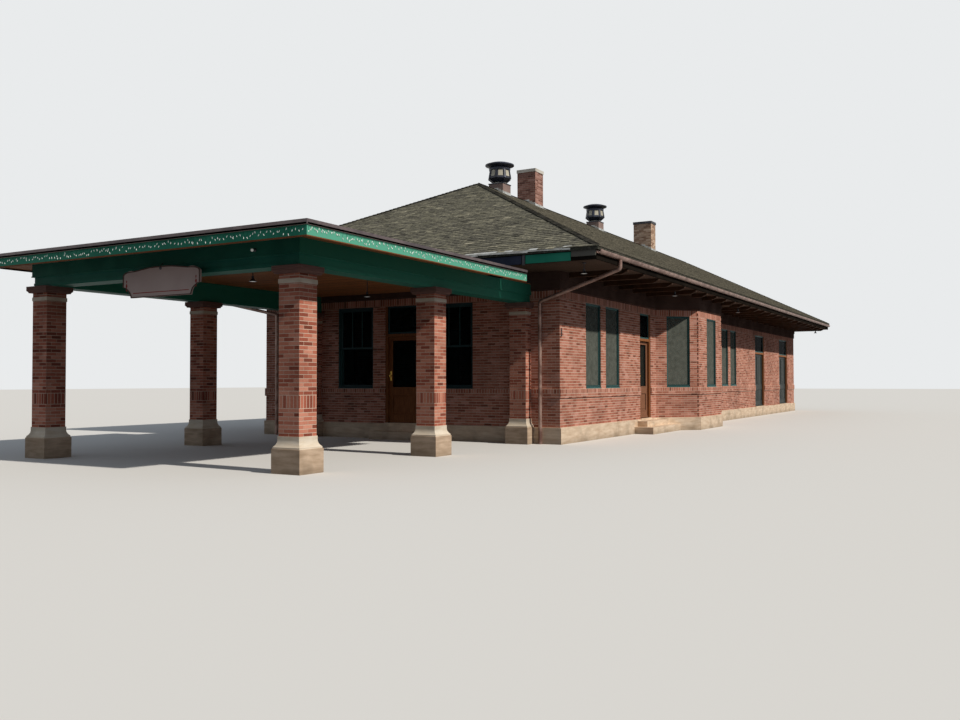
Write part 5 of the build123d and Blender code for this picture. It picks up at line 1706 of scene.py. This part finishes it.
@dataclass
class Shelter:
    """Fittings of the open shelter: bulbs, trims, sign ornaments, lamps and roof laps.

    Attributes:
        eave_end: Where the side fascias stop, at the main roof.
        bulb: Radius of a bulb.
        longest_lead: Longest wire from the string down to a bulb.
        bulb_steps: Distance between bulbs, at least and at most.
        sign_line: Right half of the sign's outline, as shares of its half width and its height.
        ornaments: Height and size of each lozenge at the sign's ends.
        lamps_at: Node of each kind of lamp, and where its lamps hang in plan.
    """

    left: float = -3.462
    right: float = 5.14
    near: float = -18.8385
    eave_end: float = -11.8685
    fascia_low: float = 3.547
    fascia_high: float = 3.697
    roof_edge: float = 3.777
    roof_rise: float = 0.15
    beam_low: float = 3.287
    beam_near: float = -17.8475
    beam_right: float = 4.149
    beam_left: float = -2.471
    band_low: float = 3.477
    band_proud: float = 0.035
    strip_width: float = 0.045
    strip_depth: float = 0.018
    neck_right: float = 4.72
    neck_far: float = -11.26
    neck_height: Pair = (3.72, 3.76)
    fold: float = 0.018
    sheet_width: float = 0.98
    laps_count: int = 6
    lap_width: float = 0.05
    lap_thick: float = 0.006
    bulb: float = 0.0058
    bulb_steps: Pair = (0.02, 0.09)
    longest_lead: float = 0.1
    string: float = 0.0022
    lead: float = 0.0018
    sign_middle: float = 1.255
    sign_face: float = -18.0565
    sign_low: float = 2.912
    sign_width: float = 1.89
    sign_height: float = 0.52
    sign_line: Profile = (
        (0.78, 0.0), (0.8, 0.1), (0.83, 0.2), (0.88, 0.28), (0.94, 0.345), (1.0, 0.38), (1.0, 0.78),
        (0.97, 0.84), (0.9, 0.88), (0.8, 0.897), (0.7, 0.9), (0.45, 0.955), (0.3, 0.985), (0.15, 0.997),
        (0.0, 1.0))
    ornaments: Profile = ((0.0, 0.03), (0.075, 0.018), (-0.075, 0.018))
    lamps_at: tuple[tuple[str, Profile], ...] = (
        ("shelter_lamps", ((1.76, -16.3685), (1.76, -12.8685))),
        ("eave_lamps", ((5.98, -10.8015), (6.1, -4.8415), (6.1, 2.0815), (6.1, 17.2015))))
    lamp_rise: float = 0.04
    lamp_line: Profile = ((0.0, 0.02), (-0.02, 0.04), (-0.036, 0.066), (-0.04, 0.05))
    spot_at: Pair = (3.25, 3.58)
    spot_aim: tuple[float, float, float] = (0.2, -1, -0.4)
    spot_line: Profile = ((0.0, 0.012), (0.015, 0.022), (0.032, 0.024), (0.04, 0.012))
    mount_line: Profile = ((0.0, 0.03), (0.015, 0.03), (0.025, 0.016), (0.055, 0.014))
    seed: int = 11

    def build(self) -> None:
        """Builds every fitting."""
        self.bulbs()
        self.trims()
        self.laps()
        self.sign()
        self.lamps()

    def bulbs(self) -> None:
        """Builds the string of small lamps along the near and right fascias."""
        draw = Random(self.seed)
        glass, wire = Shape(), Shape()
        runs = (((self.left, self.near), (self.right, self.near), (0, -1)),
                ((self.right, self.near), (self.right, self.eave_end), (1, 0)))
        line = ((-0.004, 0.004), (0.006, self.bulb * 0.8), (0.018, self.bulb), (0.03, self.bulb * 0.3))
        for ends in runs:
            start, end, out = (Vector((*value, 0)) for value in ends)
            length, run = (end - start).length, (end - start).normalized()
            top, place, before = start + UP * (self.fascia_high - 0.022) + out * 0.003, 0.03, None
            while place < length - 0.03:
                spot = top + run * place
                lead = spot + run * draw.uniform(-0.02, 0.02)
                lead -= UP * draw.betavariate(1.6, 2.2) * self.longest_lead
                if before:
                    wire.tube((before, (before + spot) / 2 - UP * 0.004, spot), self.string, 3)
                wire.tube((spot, lead), self.lead, 3)
                tip = (out * 0.1 - UP + run * draw.uniform(-0.8, 0.8)).normalized()
                glass.lathe(lead + out * 0.004, line, 5, tip)
                before = spot
                place += draw.uniform(*self.bulb_steps)
        glass.piece("fascia_bulbs", OPAL, Slot.CREAM)
        wire.piece("fascia_wire", GREEN_PAINT, Slot.GREEN)

    def trims(self) -> None:
        """Builds the strips and folds on the fascias, the board at the neck and the beads on the beams."""
        strips, neck, beads, folds = (Shape() for _ in range(4))
        low, high, wide = self.fascia_low - self.strip_depth, self.fascia_low, self.strip_width
        strips.box((self.left, self.near, low), (self.right, self.near + wide, high))
        strips.box((self.right - wide, self.near + wide, low), (self.right, self.eave_end, high))
        strips.piece("fascia_foot_strips", BROWN_TIMBER, Slot.TIMBER, bevel=0.003)
        low, high = self.neck_height
        neck.box((self.beam_right + self.band_proud, self.eave_end - 0.03, low),
                 (self.neck_right, self.neck_far, high))
        neck.piece("neck_closing_board", SHADOW_PAINT, Slot.FRIEZE, bevel=0.002)
        wall = PLAN.front - 0.05
        for low, high, out in ((self.beam_low + 0.02, self.beam_low + 0.065, 0.012),
                               (self.band_low - 0.012, self.band_low + 0.012, self.band_proud + 0.01)):
            left, right = self.beam_left - out, self.beam_right + out
            beads.box((left, self.beam_near - out, low), (right, self.beam_near, high))
            beads.box((self.beam_right, self.beam_near, low), (right, wall, high))
            beads.box((left, self.beam_near, low), (self.beam_left, wall, high))
        beads.piece("beam_beads", GREEN_PAINT, Slot.GREEN, bevel=0.003)
        low, high, past = self.fascia_high - 0.004, self.fascia_high + 0.03, self.fold / 3
        folds.box((self.left - past, self.near - self.fold, low), (self.right + past, self.near, high))
        folds.box((self.right, self.near, low), (self.right + self.fold, self.eave_end, high))
        folds.box((self.left - self.fold, self.near, low), (self.left, self.eave_end, high))
        folds.piece("drip_edge_folds", BROWN_METAL, Slot.DARK)

    def laps(self) -> None:
        """Builds the rolled sheets' laps over the shelter roof."""
        laps = Shape()
        middle, half = (self.left + self.right) / 2, (self.right - self.left) / 2
        for step in range(1, self.laps_count + 1):
            y = self.near + step * self.sheet_width
            for side in (-1, 1):
                ends = []
                for x in (half - 0.02, 0.0):
                    rise = self.roof_rise * min(half - x, y - self.near) / half
                    ends.append((middle + side * x, y, self.roof_edge + rise + 0.004))
                laps.bar(*ends, self.lap_width, self.lap_thick)
        laps.piece("shelter_roof_laps", ROLL_ROOFING, Slot.ROOFING)

    def on_sign(self, along: float, proud: float, rise: float) -> Vector:
        """Point on the sign: from its middle, out of its face, and up from its foot."""
        return Vector((self.sign_middle + along, self.sign_face - proud, self.sign_low + rise))

    def sign(self) -> None:
        """Builds the sign's raised edge, end ornaments, foot line and hook."""
        rim, ornament, hook = Shape(), Shape(), Shape()
        half, height = self.sign_width / 2, self.sign_height
        right = [(half * x, height * z) for x, z in self.sign_line]
        line = right + [(-x, z) for x, z in reversed(right[:-1])]
        centre = height * 0.45
        for first, second in zip(line, line[1:] + line[:1]):
            ring = [first, second, *((x * 0.975, centre + (z - centre) * 0.93) for x, z in (second, first))]
            rim.skin([[self.on_sign(x, proud, z) for x, z in ring] for proud in (0.0, 0.008)])
        rim.piece("sign_rim", TIMBER_EDGE, Slot.CREAM)
        for side in (-1, 1):
            x = side * half * 0.9
            for rise, size in self.ornaments:
                z = height * 0.42 + rise
                ring = [(x - size * 0.7, z), (x, z - size * 1.4), (x + size * 0.7, z), (x, z + size * 1.4)]
                ornament.skin([[self.on_sign(px, proud, pz) for px, pz in ring] for proud in (0.0, 0.006)])
        ornament.box(self.on_sign(-half * 0.72, 0.004, 0.075), self.on_sign(half * 0.72, 0.0, 0.088))
        ornament.piece("sign_ornaments", RED_PAINT, Slot.CREAM)
        hook.lathe(self.on_sign(0.0, 0.0, height - 0.035), ((0.0, 0.03), (0.006, 0.03), (0.01, 0.022)), 12,
                   (0, -1, 0))
        hook.tube([self.on_sign(0.0, proud, height + rise) for proud, rise in
                   ((0.006, -0.04), (0.02, -0.01), (-0.02, 0.02), (-0.06, 0.06))], 0.008, 8)
        hook.piece("sign_hook", DARK_METAL, Slot.DARK, smooth=40)

    def lamps(self) -> None:
        """Builds the lamps' bulbs and the small spot lamp on the front beam."""
        glass, mount = Shape(), Shape()
        for node, spots in self.lamps_at:
            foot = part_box(node)[0].z + self.lamp_rise
            for x, y in spots:
                glass.lathe((x, y, foot), self.lamp_line, 16)
        spot = Vector((self.spot_at[0], self.beam_near - self.band_proud, self.spot_at[1]))
        glass.lathe(spot + Vector((0, -0.05, 0)), self.spot_line, 12, self.spot_aim)
        glass.piece("lamp_bulbs", OPAL, Slot.CREAM, smooth=50)
        mount.lathe(spot, self.mount_line, 12, (0, -1, 0))
        mount.piece("spot_lamp_mount", DARK_METAL, Slot.DARK, smooth=40)


@dataclass
class Studio:
    """Pale floor, light, backdrop and the camera at the photograph's angle.

    Attributes:
        yaw: Turn of the camera in degrees, as pitch and roll are.
        focal_px: Its focal length in pixels of a picture width_px wide.
        sun_from: Direction towards the sun in plan, and its height, in degrees.
        sun_spread: Width of the sun in degrees, which softens shadows.
        floor_bounce: Colour that the floor has for the light which it throws back.
    """

    camera_at: tuple[float, float, float] = (13.638, -28.823, 1.447)
    yaw: float = 29.583
    pitch: float = 1.371
    roll: float = 0.08
    focal_px: float = 908.57
    width_px: float = 960.0
    sensor_mm: float = 36.0
    sun_from: tuple[float, float] = (-4.5, 39.5)
    sun_spread: float = 1.4
    sun_strength: float = 3.2
    sun_colour: tuple[float, float, float] = (1.0, 0.955, 0.89)
    fill_strength: float = 0.34
    fill_colour: str = "#DCE8F8"
    backdrop_colour: str = "#E9EBEC"
    floor_colour: str = "#E4E1DB"
    floor_bounce: str = "#6A696A"
    floor_reach: float = 160.0

    def build(self) -> None:
        """Sets up everything that isn't part of the object."""
        self.camera()
        self.light()
        self.backdrop()
        self.floor()

    def camera(self) -> None:
        """Adds the camera."""
        data = bpy.data.cameras.new("view")
        data.sensor_width = self.sensor_mm
        data.lens = self.focal_px / self.width_px * self.sensor_mm
        data.clip_end = 500
        camera = bpy.data.objects.new("view", data)
        camera.location = self.camera_at
        camera.rotation_euler = [math.radians(angle) for angle in (90 + self.pitch, self.roll, self.yaw)]
        bpy.context.scene.collection.objects.link(camera)
        bpy.context.scene.camera = camera

    def light(self) -> None:
        """Adds the key light, a sun that stands on the bay's side."""
        data = bpy.data.lights.new("key", "SUN")
        data.energy = self.sun_strength
        data.angle = math.radians(self.sun_spread)
        data.color = self.sun_colour
        key = bpy.data.objects.new("key", data)
        turn, lift = (math.radians(value) for value in self.sun_from)
        toward = Vector((math.cos(lift) * math.cos(turn), math.cos(lift) * math.sin(turn), math.sin(lift)))
        key.rotation_euler = toward.to_track_quat("Z", "Y").to_euler()
        bpy.context.scene.collection.objects.link(key)

    def seen(self, tree: bpy.types.NodeTree) -> bpy.types.NodeSocket:
        """Tells what the eye, a mirror or glass sees from what only lights the object.

        Args:
            tree: Node tree of the world or the floor.

        Returns:
            1 for camera, glossy and transmission rays, and 0 for the others.
        """
        path = add_node(tree, "LightPath", output="Is Camera Ray").node.outputs
        seen = path["Is Camera Ray"]
        for other in ("Is Glossy Ray", "Is Transmission Ray"):
            seen = add_node(tree, "Math", {0: seen, 1: path[other]}, operation="MAXIMUM")
        return seen

    def backdrop(self) -> None:
        """Makes the world pale to the eye and in reflections, and dimmer as a light."""
        world = bpy.data.worlds.new("backdrop")
        bpy.context.scene.world = world
        world.use_nodes = True
        tree = world.node_tree
        tree.nodes.clear()
        seen = self.seen(tree)
        fill = add_node(tree, "Background", {0: linear(self.fill_colour), 1: self.fill_strength})
        pale = add_node(tree, "Background", {0: linear(self.backdrop_colour), 1: 1.0})
        mixed = add_node(tree, "MixShader", {0: seen, 1: fill, 2: pale})
        add_node(tree, "OutputWorld", {"Surface": mixed})

    def floor(self) -> None:
        """Adds the floor, which looks paler than the light that it throws back."""
        mesh = bpy.data.meshes.new("floor_sheet")
        reach = self.floor_reach
        mesh.from_pydata([(-reach, -reach, 0), (reach, -reach, 0), (reach, reach, 0), (-reach, reach, 0)], [],
                         [(0, 1, 2, 3)])
        material = bpy.data.materials.new("plain_floor")
        material.use_nodes = True
        tree = material.node_tree
        tree.nodes.clear()
        seen = self.seen(tree)
        both = {6: linear(self.floor_bounce), 7: linear(self.floor_colour)}
        colour = add_node(tree, "Mix", {0: seen, **both}, 2, data_type="RGBA")
        shader = add_node(tree, "BsdfDiffuse", {0: colour})
        add_node(tree, "OutputMaterial", {"Surface": shader})
        mesh.materials.append(material)
        floor = bpy.data.objects.new("floor_sheet", mesh)
        bpy.context.scene.collection.objects.link(floor)


def main() -> None:
    """Builds the station's pieces in order."""
    logging.basicConfig(level=logging.INFO, format="%(name)s: %(message)s")
    bpy.context.scene.view_settings.view_transform = "Standard"
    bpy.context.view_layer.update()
    for part in (MainRoof(), RoofFittings(), Eaves(), Walls(), Windows(), Doors(), Shelter()):
        part.build()
    CadNodes().dress()
    Studio().build()


if __name__ == "__main__":
    main()
